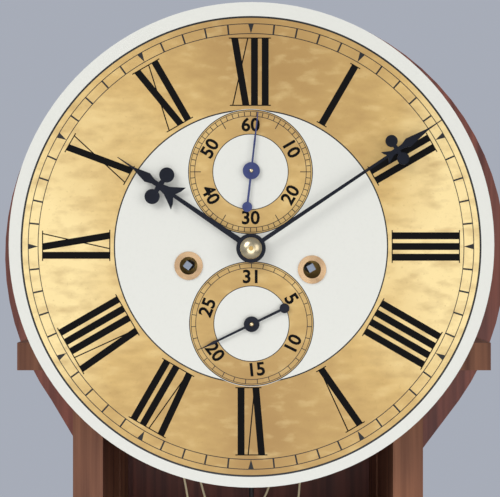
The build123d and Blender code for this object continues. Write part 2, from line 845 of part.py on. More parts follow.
# Anchor with its two pallets, crutch and fork
pallet_clear = 1.35
pallet_inner = escape_radius + pallet_clear
fork_gap = rod_radius + 0.5
fork_height = anchor_at[1] - crutch_length
crutch_y = back_rear + 13.0
cock_y = back_rear + 17.0
with BuildPart() as anchor:
    with BuildSketch(behind(escape_depth + 1.4, escape_at)):
        with BuildLine():
            start, end = math.radians(40), math.radians(47)
            Polyline(
                polar(27.5, start), polar(pallet_inner, start + 0.05), polar(pallet_inner, end), polar(24, end)
            )
            ThreePointArc(polar(24, end), (0, 24), polar(24, math.pi - end))
            Polyline(
                polar(24, math.pi - end),
                polar(pallet_inner, math.pi - end),
                polar(pallet_inner, math.pi - start - 0.05),
                polar(27.5, math.pi - start),
            )
            ThreePointArc(polar(27.5, math.pi - start), (0, 27.5), polar(27.5, start))
        make_face()
        with Locations((0, anchor_rise)):
            Circle(4.2)
    extrude(amount=4.4)
    disc(behind(plate_gap, anchor_at), arbor_radius, plate_gap - end_shake)
    disc(behind(1, anchor_at), pivot_radius, 1 + plate_thick)
    disc(facing(cock_y - end_shake, anchor_at), arbor_radius, cock_y - back_face)
    disc(facing(cock_y + 3, anchor_at), pivot_radius, 4)
    with BuildSketch(facing(crutch_y + 2, (anchor_at[0], anchor_at[1] - crutch_length / 2))):
        Rectangle(2.6, crutch_length)
    extrude(amount=2)
    fork_span = 2 * (fork_gap + 1.6)
    with BuildSketch(facing(crutch_y + 2, (anchor_at[0], fork_height + 2))):
        Rectangle(fork_span, 4)
    extrude(amount=2)
    with BuildSketch(facing(pendulum_y + 4, (anchor_at[0], fork_height + 2))):
        with Locations((-fork_gap - 0.8, 0), (fork_gap + 0.8, 0)):
            Rectangle(1.6, 4)
    extrude(amount=pendulum_y + 4 - crutch_y)
write(anchor, "anchor")

# Back cock, which carries the anchor's rear pivot and hangs the pendulum
slit_half = 0.8
with BuildPart() as back_cock:
    with BuildSketch(facing(cock_y, (anchor_at[0], 0))):
        with Locations((-29, 84), (29, 84)):
            Rectangle(8, 20)
    extrude(amount=cock_y - back_rear)
    with BuildSketch(facing(cock_y + 3, (anchor_at[0], 0))):
        with Locations((0, 86)):
            Rectangle(66, 24)
        with Locations((0, anchor_rise + escape_at[1])):
            Circle(pivot_radius + running, mode=Mode.SUBTRACT)
    extrude(amount=3)
    with BuildSketch(facing(pendulum_y + 6, (anchor_at[0], 0))):
        with Locations((0, 94)):
            Rectangle(16, 8)
    extrude(amount=pendulum_y + 3 - cock_y)
    with BuildSketch(facing(pendulum_y + 6, (anchor_at[0], 0))):
        with Locations((0, 94)):
            Rectangle(2 * slit_half, 9)
    extrude(amount=11, mode=Mode.SUBTRACT)
write(back_cock, "back_cock")

# Pendulum: suspension spring, blocks and rod
rod_end = bob_height - bob_radius - 36
with BuildPart() as pendulum_rod:
    with BuildSketch(facing(pendulum_y + 4, (anchor_at[0], 0))):
        with Locations((0, 85)):
            Rectangle(0.4, 36)
    extrude(amount=8)
    with BuildSketch(facing(pendulum_y + 5, (anchor_at[0], 0))):
        with Locations((0, 98 + clear + 3)):
            Rectangle(8, 6)
    extrude(amount=10)
    with BuildSketch(facing(pendulum_y + 4, (anchor_at[0], 0))):
        with Locations((0, 64)):
            Rectangle(5, 12)
    extrude(amount=8)
    with BuildSketch(Plane.XY.offset(dial_height + rod_end)):
        with Locations((centre_shift + anchor_at[0], pendulum_y)):
            Circle(rod_radius)
    extrude(amount=64 - rod_end)
write(pendulum_rod, "pendulum_rod")

with BuildPart() as pendulum_bob:
    bob_plane = Plane(
        origin=(centre_shift + anchor_at[0], pendulum_y, dial_height + bob_height),
        x_dir=(1, 0, 0),
        z_dir=(0, 0, 1),
    )
    with BuildSketch(bob_plane):
        with BuildLine():
            Line((0, -bob_thick / 2), (0, bob_thick / 2))
            Line((0, bob_thick / 2), (bob_radius * 0.18, bob_thick / 2))
            ThreePointArc(
                (bob_radius * 0.18, bob_thick / 2), (bob_radius * 0.66, bob_thick * 0.36), (bob_radius, 2)
            )
            Line((bob_radius, 2), (bob_radius, -2))
            ThreePointArc(
                (bob_radius, -2), (bob_radius * 0.66, -bob_thick * 0.36), (bob_radius * 0.18, -bob_thick / 2)
            )
            Line((bob_radius * 0.18, -bob_thick / 2), (0, -bob_thick / 2))
        make_face()
    bob_axis = Axis((centre_shift + anchor_at[0], pendulum_y, dial_height + bob_height), (0, 1, 0))
    revolve(axis=bob_axis)
    with BuildSketch(Plane.XY.offset(dial_height + bob_height - bob_radius - 1)):
        with Locations((centre_shift + anchor_at[0], pendulum_y)):
            Circle(rod_radius + running)
    extrude(amount=2 * bob_radius + 2, mode=Mode.SUBTRACT)
write(pendulum_bob, "pendulum_bob")

nut_top = bob_height - bob_radius - clear
with BuildPart() as rating_nut:
    with BuildSketch(Plane.XY.offset(dial_height + nut_top - 7)):
        with Locations((centre_shift + anchor_at[0], pendulum_y)):
            RegularPolygon(nut_radius, 10)
            Circle(rod_radius + running, mode=Mode.SUBTRACT)
    extrude(amount=7)
write(rating_nut, "rating_nut")

# Striking train
with BuildPart() as strike_great_wheel:
    great_wheel(strike_at, strike_teeth, pin_at)
write(strike_great_wheel, "strike_great_wheel")

with BuildPart() as strike_barrel:
    barrel(strike_at, 53)
write(strike_barrel, "strike_barrel")

with BuildPart() as strike_click:
    click(strike_at)
write(strike_click, "strike_click")

pin_circle = 19.0
with BuildPart() as pin_wheel:
    spindle(pin_at)
    crossed_wheel(pin_wheel_depth, pin_at, pin_teeth, pin_module, gathering_at)
    leaved_pinion(great_depth + 1, pin_at, pin_pinion, great_module, strike_at, pinion_length)
    with BuildSketch(behind(pin_wheel_depth + pin_length, pin_at)):
        with PolarLocations(pin_circle, 8):
            RegularPolygon(1.0, 6)
    extrude(amount=pin_length + 1)
write(pin_wheel, "pin_wheel")

pallet_layer = 12.0
with BuildPart() as gathering_wheel:
    spindle(gathering_at)
    crossed_wheel(gathering_depth, gathering_at, gathering_teeth, gathering_module, warning_at)
    leaved_pinion(pin_wheel_depth + 1, gathering_at, gathering_pinion, pin_module, pin_at, 4)
    disc(behind(1, gathering_at), seconds_arbor, 1 + plate_thick + pallet_layer)
    with BuildSketch(ahead(pallet_layer - 2, gathering_at)):
        section(2.6)
        with Locations((-2.8, 1.6)):
            Rectangle(5.0, 2.0, rotation=-25)
    extrude(amount=2)
write(gathering_wheel, "gathering_wheel")

with BuildPart() as warning_wheel:
    spindle(warning_at)
    crossed_wheel(warning_depth, warning_at, warning_teeth, warning_module, fly_at)
    leaved_pinion(gathering_depth + 1, warning_at, warning_pinion, gathering_module, gathering_at, 4)
write(warning_wheel, "warning_wheel")

with BuildPart() as fly:
    spindle(fly_at)
    leaved_pinion(warning_depth + 1, fly_at, fly_pinion, warning_module, warning_at, 4)
    with BuildSketch(behind(fly_depth, fly_at)):
        Rectangle(2 * fly_radius, 1.0, rotation=35)
        section(2.2)
    extrude(amount=fly_length)
write(fly, "fly")

# Hammer, bell and bell stand
bell_radius = 46.0
bell_wall = 2.4
bell_rim = 106.0
bell_height = 36.0
bell_y = front_rear + 45.5
hammer_depth = 58.5
tail_length = 12.0
bell_gap = 1.2
hammer_y = front_rear + hammer_depth - 1.5
head_reach = math.sqrt(bell_radius**2 - (hammer_y - bell_y) ** 2) + bell_gap
head_height = bell_rim + 5
with BuildPart() as hammer:
    spindle(hammer_at)
    tail_angle = bearing(hammer_at, pin_at)
    with BuildSketch(behind(hammer_depth, hammer_at)):
        Circle(3.0)
        with Locations(reach((0, 0), tail_length / 2, tail_angle)):
            Rectangle(tail_length, 2.4, rotation=tail_angle)
        with Locations((0, (head_height - hammer_at[1]) / 2)):
            Rectangle(2.4, head_height - hammer_at[1])
    extrude(amount=3)
    head_plane = Plane(
        origin=(centre_shift + hammer_at[0] - 4, hammer_y, dial_height + head_height),
        x_dir=(0, 1, 0),
        z_dir=(1, 0, 0),
    )
    with BuildSketch(head_plane):
        Circle(4.2)
    extrude(amount=-head_reach - hammer_at[0] + 4)
write(hammer, "hammer")

with BuildPart() as bell:
    bell_plane = Plane(
        origin=(centre_shift, bell_y, dial_height + bell_rim), x_dir=(1, 0, 0), z_dir=(0, -1, 0)
    )
    with BuildSketch(bell_plane):
        with BuildLine():
            inner = bell_radius - bell_wall
            Line((bell_radius, 0), (inner, 0))
            ThreePointArc(
                (inner, 0), (inner * 0.74, (bell_height - bell_wall) * 0.66), (3.2, bell_height - bell_wall)
            )
            Line((3.2, bell_height - bell_wall), (3.2, bell_height))
            ThreePointArc((3.2, bell_height), (bell_radius * 0.76, bell_height * 0.68), (bell_radius, 0))
        make_face()
    revolve(axis=Axis((centre_shift, bell_y, 0), (0, 0, 1)))
write(bell, "bell")

stand_x = 46.0
stand_top = bell_rim + bell_height + 8
with BuildPart() as bell_stand:
    with BuildSketch(facing(back_rear + 3, (stand_x, 0))):
        with Locations((0, (60 + stand_top) / 2)):
            Rectangle(8, stand_top - 60)
    extrude(amount=3)
    bar_end = (back_rear + 1.5) - bell_y
    bar_length = math.hypot(stand_x, bar_end)
    with BuildSketch(Plane.XY.offset(dial_height + stand_top - 3)):
        with Locations((centre_shift + stand_x / 2, bell_y + bar_end / 2)):
            Rectangle(bar_length + 6, 8, rotation=math.degrees(math.atan2(bar_end, stand_x)))
    extrude(amount=3)
    with BuildSketch(Plane.XY.offset(dial_height + stand_top - 14)):
        with Locations((centre_shift, bell_y)):
            Circle(3.2 - running)
    extrude(amount=14)
    with BuildSketch(Plane.XY.offset(dial_height + bell_rim + bell_height + 0.2)):
        with Locations((centre_shift, bell_y)):
            Circle(5)
    extrude(amount=5)
write(bell_stand, "bell_stand")

# Rack, with its teeth, and the tail that feels the snail
rack_radius = 82.5
rack_layer = 12.0
tail_layer = 19.0
with BuildPart() as rack:
    with BuildSketch(ahead(rack_layer - 2, rack_at)):
        with BuildLine():
            teeth = []
            for k in range(14):
                angle = math.radians(92 - 1.5 * k)
                teeth += [polar(rack_radius - 2, angle), polar(rack_radius, angle - math.radians(0.3))]
            first, last = math.radians(92), math.radians(71)
            Polyline(*teeth, polar(rack_radius - 2, last), polar(rack_radius - 7, last))
            ThreePointArc(
                polar(rack_radius - 7, last),
                polar(rack_radius - 7, (first + last) / 2),
                polar(rack_radius - 7, first),
            )
            Line(polar(rack_radius - 7, first), polar(rack_radius - 2, first))
        make_face()
        with Locations(reach((0, 0), rack_radius / 2 - 2, 81.5)):
            Rectangle(rack_radius - 6, 4.4, rotation=81.5)
    extrude(amount=2)
    disc(ahead(0.4, rack_at), 3.6, tail_layer - 0.4)
    with BuildSketch(ahead(tail_layer - 2, rack_at)):
        with Locations(reach((0, 0), 17, 37)):
            Rectangle(32, 3.2, rotation=37)
    extrude(amount=2)
    disc(ahead(0, rack_at), stud_radius + running, tail_layer + 1, mode=Mode.SUBTRACT)
write(rack, "rack")

with BuildPart() as rack_hook:
    beak_at = reach((rack_at[0] - hook_at[0], rack_at[1] - hook_at[1]), rack_radius + 0.6, 95)
    with BuildSketch(ahead(rack_layer - 2, hook_at)):
        with BuildLine():
            Polyline(
                (-3, 2),
                (4, 3.2),
                (beak_at[0] + 3.0, beak_at[1] + 3.4),
                (beak_at[0] + 3.4, beak_at[1] + 1.0),
                beak_at,
                (beak_at[0] - 1.0, beak_at[1] + 3.0),
                (1.6, -3.4),
                (-3, -2),
                close=True,
            )
        make_face()
    extrude(amount=2)
    disc(ahead(0.4, hook_at), 3.4, rack_layer - 0.4)
    disc(ahead(0, hook_at), stud_radius + running, rack_layer + 1, mode=Mode.SUBTRACT)
write(rack_hook, "rack_hook")

lifting_layer = 8.5
with BuildPart() as lifting_piece:
    with BuildSketch(ahead(lifting_layer - 2, lifting_at)):
        with BuildLine():
            Polyline(
                (3, -2),
                (3, 3),
                (-6, 4),
                (-26, 6),
                (-48, 21),
                (-86, 25),
                (-87, 20),
                (-50, 16.4),
                (-29, 1.0),
                (-30, -5.6),
                (-22, -6.6),
                (-16, -2),
                (0, -3.4),
                close=True,
            )
        make_face()
    extrude(amount=2)
    disc(ahead(0.4, lifting_at), 3.6, lifting_layer - 0.4)
    disc(ahead(0, lifting_at), stud_radius + running, lifting_layer + 1, mode=Mode.SUBTRACT)
write(lifting_piece, "lifting_piece")

# Motion work
bridge_radius = 24.0
bridge_angle = -50.0
cannon_outer = 3.0
bridge_inner = cannon_outer + 2 * running
bridge_outer = 4.6
hour_inner = bridge_outer + 2 * running
hour_outer = 6.3
with BuildPart() as bridge:
    for angle in (bridge_angle, bridge_angle + 180):
        with BuildSketch(ahead(0, reach(centre_at, bridge_radius, angle))):
            Rectangle(9, 9, rotation=angle)
        extrude(amount=6.5)
    with BuildSketch(ahead(6.5)):
        Rectangle(2 * bridge_radius + 9, 9, rotation=bridge_angle)
    extrude(amount=2.5)
    disc(ahead(6.5), bridge_outer, 19.5)
    disc(ahead(6), bridge_inner, 22, mode=Mode.SUBTRACT)
write(bridge, "bridge")

with BuildPart() as cannon_wheel:
    pipe_end = front_face - dial_front + minute_hand_ahead + 2.4
    outline(wheel_outline(cannon_teeth, motion_module, bearing(centre_at, minute_at)), ahead(3), 2)
    crossings(ahead(3), 12.6, 5.0, 2)
    disc(ahead(2.4), cannon_outer, pipe_end - 2.4)
    disc(ahead(2), centre_arbor + running, pipe_end + 2, mode=Mode.SUBTRACT)
write(cannon_wheel, "cannon_wheel")

half_tooth = 180 / minute_teeth
with BuildPart() as minute_wheel:
    toward = bearing(minute_at, centre_at)
    outline(wheel_outline(minute_teeth, motion_module, toward + half_tooth), ahead(3, minute_at), 2)
    crossings(ahead(3, minute_at), 12.6, 4.0, 2)
    outline(pinion_outline(minute_pinion, hour_module, toward), ahead(3, minute_at), 14)
    disc(ahead(5, reach(minute_at, 13.6, 100)), 0.9, 3.2)
    disc(ahead(0, minute_at), minute_stud + running, 20, mode=Mode.SUBTRACT)
write(minute_wheel, "minute_wheel")

snail_step = 1.0
snail_high = 18.0
finger_reach = 27.5
with BuildPart() as hour_wheel:
    hour_end = front_face - dial_front + hour_hand_ahead + hand_thick + 0.8
    outline(wheel_outline(hour_teeth, hour_module, bearing(centre_at, minute_at)), ahead(14), 2)
    crossings(ahead(14), 25.4, 9.0, 2, arm=3.2)
    disc(ahead(13.6), hour_outer, hour_end - 13.6)
    snail = []
    for step in range(12):
        radius = snail_high - snail_step * step
        snail += [polar(radius, math.radians(-30 * step)), polar(radius, math.radians(-30 * step - 29.9))]
    outline(snail, ahead(17), 2)
    with BuildSketch(ahead(31)):
        with Locations((finger_reach / 2 + 2, 0)):
            Rectangle(finger_reach - 4, 3)
    extrude(amount=2)
    disc(ahead(13), hour_inner, hour_end, mode=Mode.SUBTRACT)
write(hour_wheel, "hour_wheel")

date_tip = math.dist(centre_at, date_at) - finger_reach - 2 * clear
with BuildPart() as date_wheel:
    outline(saw_outline(date_teeth, date_tip, date_tip - 1.6, 0.5), ahead(31, date_at), 2)
    crossings(ahead(31, date_at), date_tip - 4.6, 5.0, 2)
    disc(ahead(28, date_at), small_bore - 2 * running, front_face - dial_front + small_hand_ahead - 28)
    disc(ahead(28, date_at), 1.2, front_face - dial_front + small_hand_ahead + hand_thick + 0.6 - 28)
write(date_wheel, "date_wheel")


# Hands
def turned(points, degrees):
    """Points turned clockwise, as the hands turn."""
    angle = math.radians(degrees)
    c, s = math.cos(angle), math.sin(angle)
    return [(x * c + z * s, z * c - x * s) for x, z in points]


def hand(plane, degrees, boss, bore, hub_half, tip, spear, thin, disc_at, disc_out, disc_r, horn_at, horn_out):
    """A steel hand: tapered shank, two backward horns, two discs, a spear head and a fine tip."""
    root = horn_at + (disc_at - horn_at) * 0.22
    waist = (root + disc_at) / 2
    right = [
        (hub_half, 0),
        (hub_half * 0.62, root),
        (horn_out * 0.55, horn_at + (root - horn_at) * 0.35),
        (horn_out, horn_at),
        (horn_out * 0.72, root + (waist - root) * 0.1),
        (horn_out * 0.36, waist),
        (disc_r * 0.45, disc_at - disc_r * 0.35),
        (disc_out, disc_at - disc_r * 0.3),
        (disc_out, disc_at + disc_r * 0.2),
        (disc_r * 0.34, disc_at + disc_r * 0.35),
        (spear[1] * 0.5, (disc_at + spear[0]) / 2),
        (spear[1], spear[0]),
        (thin[1], thin[0]),
        (0.25, tip),
    ]
    left = [(-x, z) for x, z in reversed(right)]
    with BuildSketch(plane) as shape:
        with BuildLine():
            Polyline(*turned(right + left, degrees), close=True)
        make_face()
        with Locations(*turned([(-disc_out, disc_at), (disc_out, disc_at)], degrees)):
            Circle(disc_r)
        Circle(boss)
        section(bore, Mode.SUBTRACT)
    extrude(shape.sketch, amount=hand_thick)


with BuildPart() as hour_hand:
    hour_y = dial_front - hour_hand_ahead
    hand(
        facing(hour_y), hour_angle, boss=8.6, bore=hour_outer + running, hub_half=2.1, tip=109.0,
        spear=(84.8, 3.4), thin=(95.5, 0.8), disc_at=74.8, disc_out=8.8, disc_r=5.1, horn_at=59.3, horn_out=9.0,
    )
write(hour_hand, "hour_hand")

with BuildPart() as minute_hand:
    minute_y = dial_front - minute_hand_ahead
    hand(
        facing(minute_y), minute_angle, boss=9.9, bore=cannon_outer + running, hub_half=1.5, tip=155.0,
        spear=(127.3, 3.2), thin=(143.0, 0.6), disc_at=118.4, disc_out=7.1, disc_r=4.1, horn_at=108.4, horn_out=4.8,
    )
write(minute_hand, "minute_hand")

# Domed collet that holds the minute hand on its pipe
with BuildPart() as hand_collet:
    collet_plane = facing(dial_front - minute_hand_ahead - hand_thick)
    with BuildSketch(Plane(origin=collet_plane.origin, x_dir=(1, 0, 0), z_dir=(0, 0, 1))):
        with BuildLine():
            Line((cannon_outer + running, 0), (7.3, 0))
            Line((7.3, 0), (7.3, -0.8))
            ThreePointArc((7.3, -0.8), (5.2, -2.6), (centre_arbor + running, -3.6))
            Line((centre_arbor + running, -3.6), (centre_arbor + running, -1.6))
            Line((centre_arbor + running, -1.6), (cannon_outer + running, -1.6))
            Line((cannon_outer + running, -1.6), (cannon_outer + running, 0))
        make_face()
    revolve(axis=Axis(collet_plane.origin, (0, 1, 0)))
write(hand_collet, "hand_collet")


def small_hand(place, degrees, boss, bore, length, wide, fine, leaf, counter, counter_r, thick=0.8):
    """A slim hand for a subsidiary dial, with a disc as its counterweight."""
    right = [(wide, -counter), (wide * 0.8, leaf[0] - 4), (leaf[1], leaf[0]), (fine, leaf[0] + 5), (fine * 0.6, length)]
    left = [(-x, z) for x, z in reversed(right)]
    with BuildSketch(facing(dial_front - small_hand_ahead, place)) as shape:
        with BuildLine():
            Polyline(*turned(right + left, degrees), close=True)
        make_face()
        with Locations(*turned([(0, -counter)], degrees)):
            Circle(counter_r)
        Circle(boss)
        section(bore, Mode.SUBTRACT)
    extrude(shape.sketch, amount=thick)


with BuildPart() as seconds_hand:
    small_hand(
        escape_at, seconds_angle, boss=5.8, bore=seconds_arbor + running, length=40.1, wide=0.75,
        fine=0.55, leaf=(20.0, 0.7), counter=24.7, counter_r=3.4,
    )
write(seconds_hand, "seconds_hand")

with BuildPart() as date_hand:
    small_hand(
        date_at, date_angle, boss=5.3, bore=1.2 + running, length=37.8, wide=0.9,
        fine=0.5, leaf=(28.6, 1.1), counter=24.8, counter_r=3.35,
    )
write(date_hand, "date_hand")


# Weights, pulleys and gut lines
going_x = slot_x[1] + pulley_centre
strike_x = slot_x[0] + pulley_centre


def weight(x):
    """A cast weight with a domed top, and the pulley's stirrup with its axle."""
    with BuildSketch(Plane(origin=(centre_shift + x, line_y, weight_foot), x_dir=(1, 0, 0), z_dir=(0, -1, 0))) as half:
        with BuildLine():
            side = weight_height - weight_dome - 10
            Polyline((0, weight_height), (0, 0), (weight_radius - 2, 0), (weight_radius, 2), (weight_radius, side))
            ThreePointArc(
                (weight_radius, side),
                (weight_radius * 0.74, side + weight_dome * 0.72),
                (5, side + weight_dome),
            )
            Polyline((5, side + weight_dome), (5, weight_height), (0, weight_height))
        make_face()
    revolve(half.sketch, axis=Axis((centre_shift + x, line_y, 0), (0, 0, 1)))
    top = weight_foot + weight_height
    bar = pulley_height - pulley_rim - 2 * clear
    with BuildSketch(Plane.XY.offset(top)) as shank:
        with Locations((centre_shift + x, line_y)):
            Circle(2.6)
    extrude(shank.sketch, amount=bar - top - 2)
    with BuildSketch(Plane.XY.offset(bar - 4)) as bridge_bar:
        with Locations((centre_shift + x, line_y)):
            Rectangle(11, pulley_width + 4 * clear + 3.2)
    extrude(bridge_bar.sketch, amount=4)
    cheek_y = pulley_width / 2 + 2 * clear + 0.8
    with BuildSketch(Plane.XY.offset(bar)) as cheeks:
        with Locations((centre_shift + x, line_y - cheek_y), (centre_shift + x, line_y + cheek_y)):
            Rectangle(11, 1.6)
    extrude(cheeks.sketch, amount=pulley_height - bar + 5)
    axle_plane = Plane(
        origin=(centre_shift + x, line_y + cheek_y, pulley_height), x_dir=(1, 0, 0), z_dir=(0, -1, 0)
    )
    disc(axle_plane, pulley_axle, 2 * cheek_y)


def pulley(x):
    """A grooved brass sheave."""
    origin = (centre_shift + x, line_y, pulley_height)
    half = pulley_width / 2
    groove = pulley_centre - line_radius - running
    with BuildSketch(Plane(origin=origin, x_dir=(1, 0, 0), z_dir=(0, 0, 1))) as section:
        with BuildLine():
            Polyline(
                (pulley_axle + running, -half),
                (pulley_rim, -half),
                (groove, -0.9),
                (groove, 0.9),
                (pulley_rim, half),
                (pulley_axle + running, half),
                close=True,
            )
        make_face()
    revolve(section.sketch, axis=Axis(origin, (0, 1, 0)))


with BuildPart() as going_weight:
    weight(going_x)
write(going_weight, "going_weight")

with BuildPart() as strike_weight:
    weight(strike_x)
write(strike_weight, "strike_weight")

with BuildPart() as going_pulley:
    pulley(going_x)
write(going_pulley, "going_pulley")

with BuildPart() as strike_pulley:
    pulley(strike_x)
write(strike_pulley, "strike_pulley")

# Routes of the slack gut lines, as (x, y, z) from the dial centre, top to bottom. The barrel
# line leaves its barrel, and the tied line starts in its hole through the seatboard.
line_bottom = pulley_height - dial_height
going_line_route = (
    (15.25, line_y, -13.5),
    (15.6, line_y, -64),
    (19.6, line_y - 1, -104),
    (20.6, line_y, -146),
    (14.5, line_y + 1, -179),
    (-0.6, line_y, -205),
    (-6.0, line_y - 2, -256),
    (0.5, line_y - 3, -312),
    (10.5, line_y - 3, -370),
    (18.0, line_y - 1, -428),
    (22.0, line_y + 1, -487),
    (21.5, line_y + 2, -546),
    (17.5, line_y + 2, -605),
    (13.0, line_y + 1, -664),
    (10.8, line_y - 1, -723),
    (11.4, line_y - 2, -782),
    (14.2, line_y - 2, -841),
    (16.8, line_y - 1, -900),
    (17.9, line_y, -959),
    (17.6, line_y + 1, -1018),
    (16.6, line_y + 1, -1077),
    (15.8, line_y, -1136),
    (15.3, line_y - 0.4, -1195),
    (15.25, line_y, -1254),
    (15.35, line_y + 0.2, -1313),
    (15.25, line_y, -1370),
    (15.25, line_y, line_bottom),
)
going_tie_route = (
    (44.0, line_y, -68),
    (44.3, line_y, -104),
    (40.5, line_y + 1, -142),
    (35.9, line_y + 1, -177),
    (33.2, line_y, -218),
    (35.4, line_y - 2, -272),
    (41.5, line_y - 3, -329),
    (48.5, line_y - 3, -386),
    (54.8, line_y - 1, -443),
    (59.6, line_y + 1, -501),
    (62.4, line_y + 2, -560),
    (62.7, line_y + 2, -619),
    (60.7, line_y + 1, -678),
    (57.8, line_y, -737),
    (55.7, line_y - 1, -796),
    (55.6, line_y - 2, -855),
    (57.3, line_y - 2, -914),
    (59.8, line_y - 1, -973),
    (61.6, line_y, -1032),
    (62.0, line_y + 1, -1091),
    (61.3, line_y + 1, -1150),
    (60.5, line_y, -1209),
    (60.2, line_y - 0.4, -1268),
    (60.35, line_y, -1327),
    (60.25, line_y + 0.2, -1384),
    (60.25, line_y, line_bottom),
)
strike_line_route = (
    (-69.0, line_y, -11.8),
    (-68.7, line_y, -62),
    (-64.8, line_y - 3, -102),
    (-57.0, line_y - 5, -141),
    (-48.0, line_y - 6, -176),
    (-43.0, line_y - 6, -216),
    (-45.0, line_y - 5, -271),
    (-51.0, line_y - 3, -328),
    (-58.5, line_y - 1, -385),
    (-65.0, line_y + 1, -442),
    (-69.8, line_y + 2, -500),
    (-71.8, line_y + 3, -559),
    (-70.8, line_y + 2, -618),
    (-67.8, line_y + 1, -677),
    (-65.2, line_y, -736),
    (-64.6, line_y - 1, -795),
    (-66.0, line_y - 2, -854),
    (-68.4, line_y - 2, -913),
    (-70.2, line_y - 1, -972),
    (-70.7, line_y, -1031),
    (-70.1, line_y + 1, -1090),
    (-69.3, line_y + 1, -1149),
    (-68.9, line_y, -1208),
    (-69.1, line_y - 0.3, -1267),
    (-68.9, line_y, -1326),
    (-69.0, line_y + 0.2, -1383),
    (-69.0, line_y, line_bottom),
)
strike_tie_route = (
    (-50.5, line_y, -68),
    (-50.8, line_y + 1, -104),
    (-46.8, line_y + 3, -142),
    (-37.5, line_y + 4, -177),
    (-27.6, line_y + 4, -211),
    (-20.0, line_y + 2, -262),
    (-15.5, line_y, -318),
    (-14.6, line_y - 2, -376),
    (-17.0, line_y - 3, -434),
    (-21.2, line_y - 3, -492),
    (-25.2, line_y - 2, -551),
    (-27.6, line_y - 1, -610),
    (-28.2, line_y + 1, -669),
    (-27.0, line_y + 2, -728),
    (-24.8, line_y + 2, -787),
    (-22.8, line_y + 1, -846),
    (-21.8, line_y, -905),
    (-22.0, line_y - 1, -964),
    (-23.0, line_y - 1, -1023),
    (-24.0, line_y, -1082),
    (-24.4, line_y + 1, -1141),
    (-24.2, line_y + 1, -1200),
    (-23.9, line_y, -1259),
    (-24.1, line_y - 0.3, -1318),
    (-24.0, line_y, -1376),
    (-24.0, line_y, line_bottom),
)


def bend_radii(route):
    """Each corner's radius: 0.45 of its shorter run, over the tangent of half its turn."""
    radii = []
    for before, here, after in zip(route, route[1:], route[2:]):
        first, second = Vector(*here) - Vector(*before), Vector(*after) - Vector(*here)
        turn = math.radians(first.get_angle(second))
        radii.append(0.45 * min(first.length, second.length) / math.tan(turn / 2))
    return radii


def slack_line(name, route):
    """A limp gut line along a route, six-sided to keep the facets few."""
    radii = bend_radii(route)
    points = [(centre_shift + x, y, dial_height + z) for x, y, z in route]
    print(name, "bend radii", [round(radius) for radius in radii])
    with BuildLine() as path:
        FilletPolyline(*points, radius=radii)
    along = path.line
    with BuildSketch(Plane(origin=along @ 0, z_dir=along % 0)) as end:
        RegularPolygon(line_radius, 6)
    sweep(end.sketch, path=along)


def bight(x):
    """The line's half turn round the underside of its pulley."""
    with BuildLine(Plane.XZ) as path:
        middle = centre_shift + x
        ThreePointArc(
            (middle - pulley_centre, pulley_height),
            (middle, pulley_height - pulley_centre),
            (middle + pulley_centre, pulley_height),
        )
    around = path.line.moved(Location((0, line_y, 0)))
    with BuildSketch(Plane(origin=around @ 0, z_dir=around % 0)) as end:
        RegularPolygon(line_radius, 6)
    sweep(end.sketch, path=around)


with BuildPart() as going_line:
    slack_line("going barrel line", going_line_route)
    slack_line("going tied line", going_tie_route)
write(going_line, "going_line")

with BuildPart() as strike_line:
    slack_line("strike barrel line", strike_line_route)
    slack_line("strike tied line", strike_tie_route)
write(strike_line, "strike_line")

with BuildPart() as going_line_bight:
    bight(going_x)
write(going_line_bight, "going_line_bight")

with BuildPart() as strike_line_bight:
    bight(strike_x)
write(strike_line_bight, "strike_line_bight")
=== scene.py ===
import json
import logging
import math
from dataclasses import dataclass
from enum import Enum
from typing import Any, Sequence

import bpy
import numpy as np
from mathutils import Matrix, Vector


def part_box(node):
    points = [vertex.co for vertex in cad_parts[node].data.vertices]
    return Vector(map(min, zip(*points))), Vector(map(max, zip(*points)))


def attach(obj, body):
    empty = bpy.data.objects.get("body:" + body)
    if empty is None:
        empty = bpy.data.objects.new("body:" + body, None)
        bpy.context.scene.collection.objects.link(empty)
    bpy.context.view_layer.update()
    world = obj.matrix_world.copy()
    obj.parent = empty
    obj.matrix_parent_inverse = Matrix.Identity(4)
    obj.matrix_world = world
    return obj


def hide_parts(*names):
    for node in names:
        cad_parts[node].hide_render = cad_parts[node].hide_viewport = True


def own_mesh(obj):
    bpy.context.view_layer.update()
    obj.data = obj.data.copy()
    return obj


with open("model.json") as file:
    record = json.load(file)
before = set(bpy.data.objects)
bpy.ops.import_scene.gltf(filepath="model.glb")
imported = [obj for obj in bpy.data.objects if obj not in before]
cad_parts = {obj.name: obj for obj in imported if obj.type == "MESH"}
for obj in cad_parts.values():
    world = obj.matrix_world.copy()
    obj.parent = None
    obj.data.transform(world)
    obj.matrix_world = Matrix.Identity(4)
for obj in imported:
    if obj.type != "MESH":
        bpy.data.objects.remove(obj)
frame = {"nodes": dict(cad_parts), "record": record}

log = logging.getLogger("longcase")
MM = 0.001
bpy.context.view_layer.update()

Point = tuple[float, float, float]
Colour = tuple[float, float, float]

# Places shared by the classes, in metres in the part's own frame
CENTRE_X = 2.2 * MM
CENTRE_Z = 1795.0 * MM
DIAL_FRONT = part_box("dial")[0].y
LINE_Y = (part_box("going_weight")[0].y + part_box("going_weight")[1].y) / 2
PULLEY_Z = (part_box("going_pulley")[0].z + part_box("going_pulley")[1].z) / 2


class Side(Enum):
    """The two trains, with the joint that raises each one's weight."""

    GOING = "going"
    STRIKE = "strike"

    @property
    def joint(self) -> str:
        """Name of the joint that raises this train's weight.

        Returns:
            The joint's name.
        """
        return f"{self.value}_weight_rise"


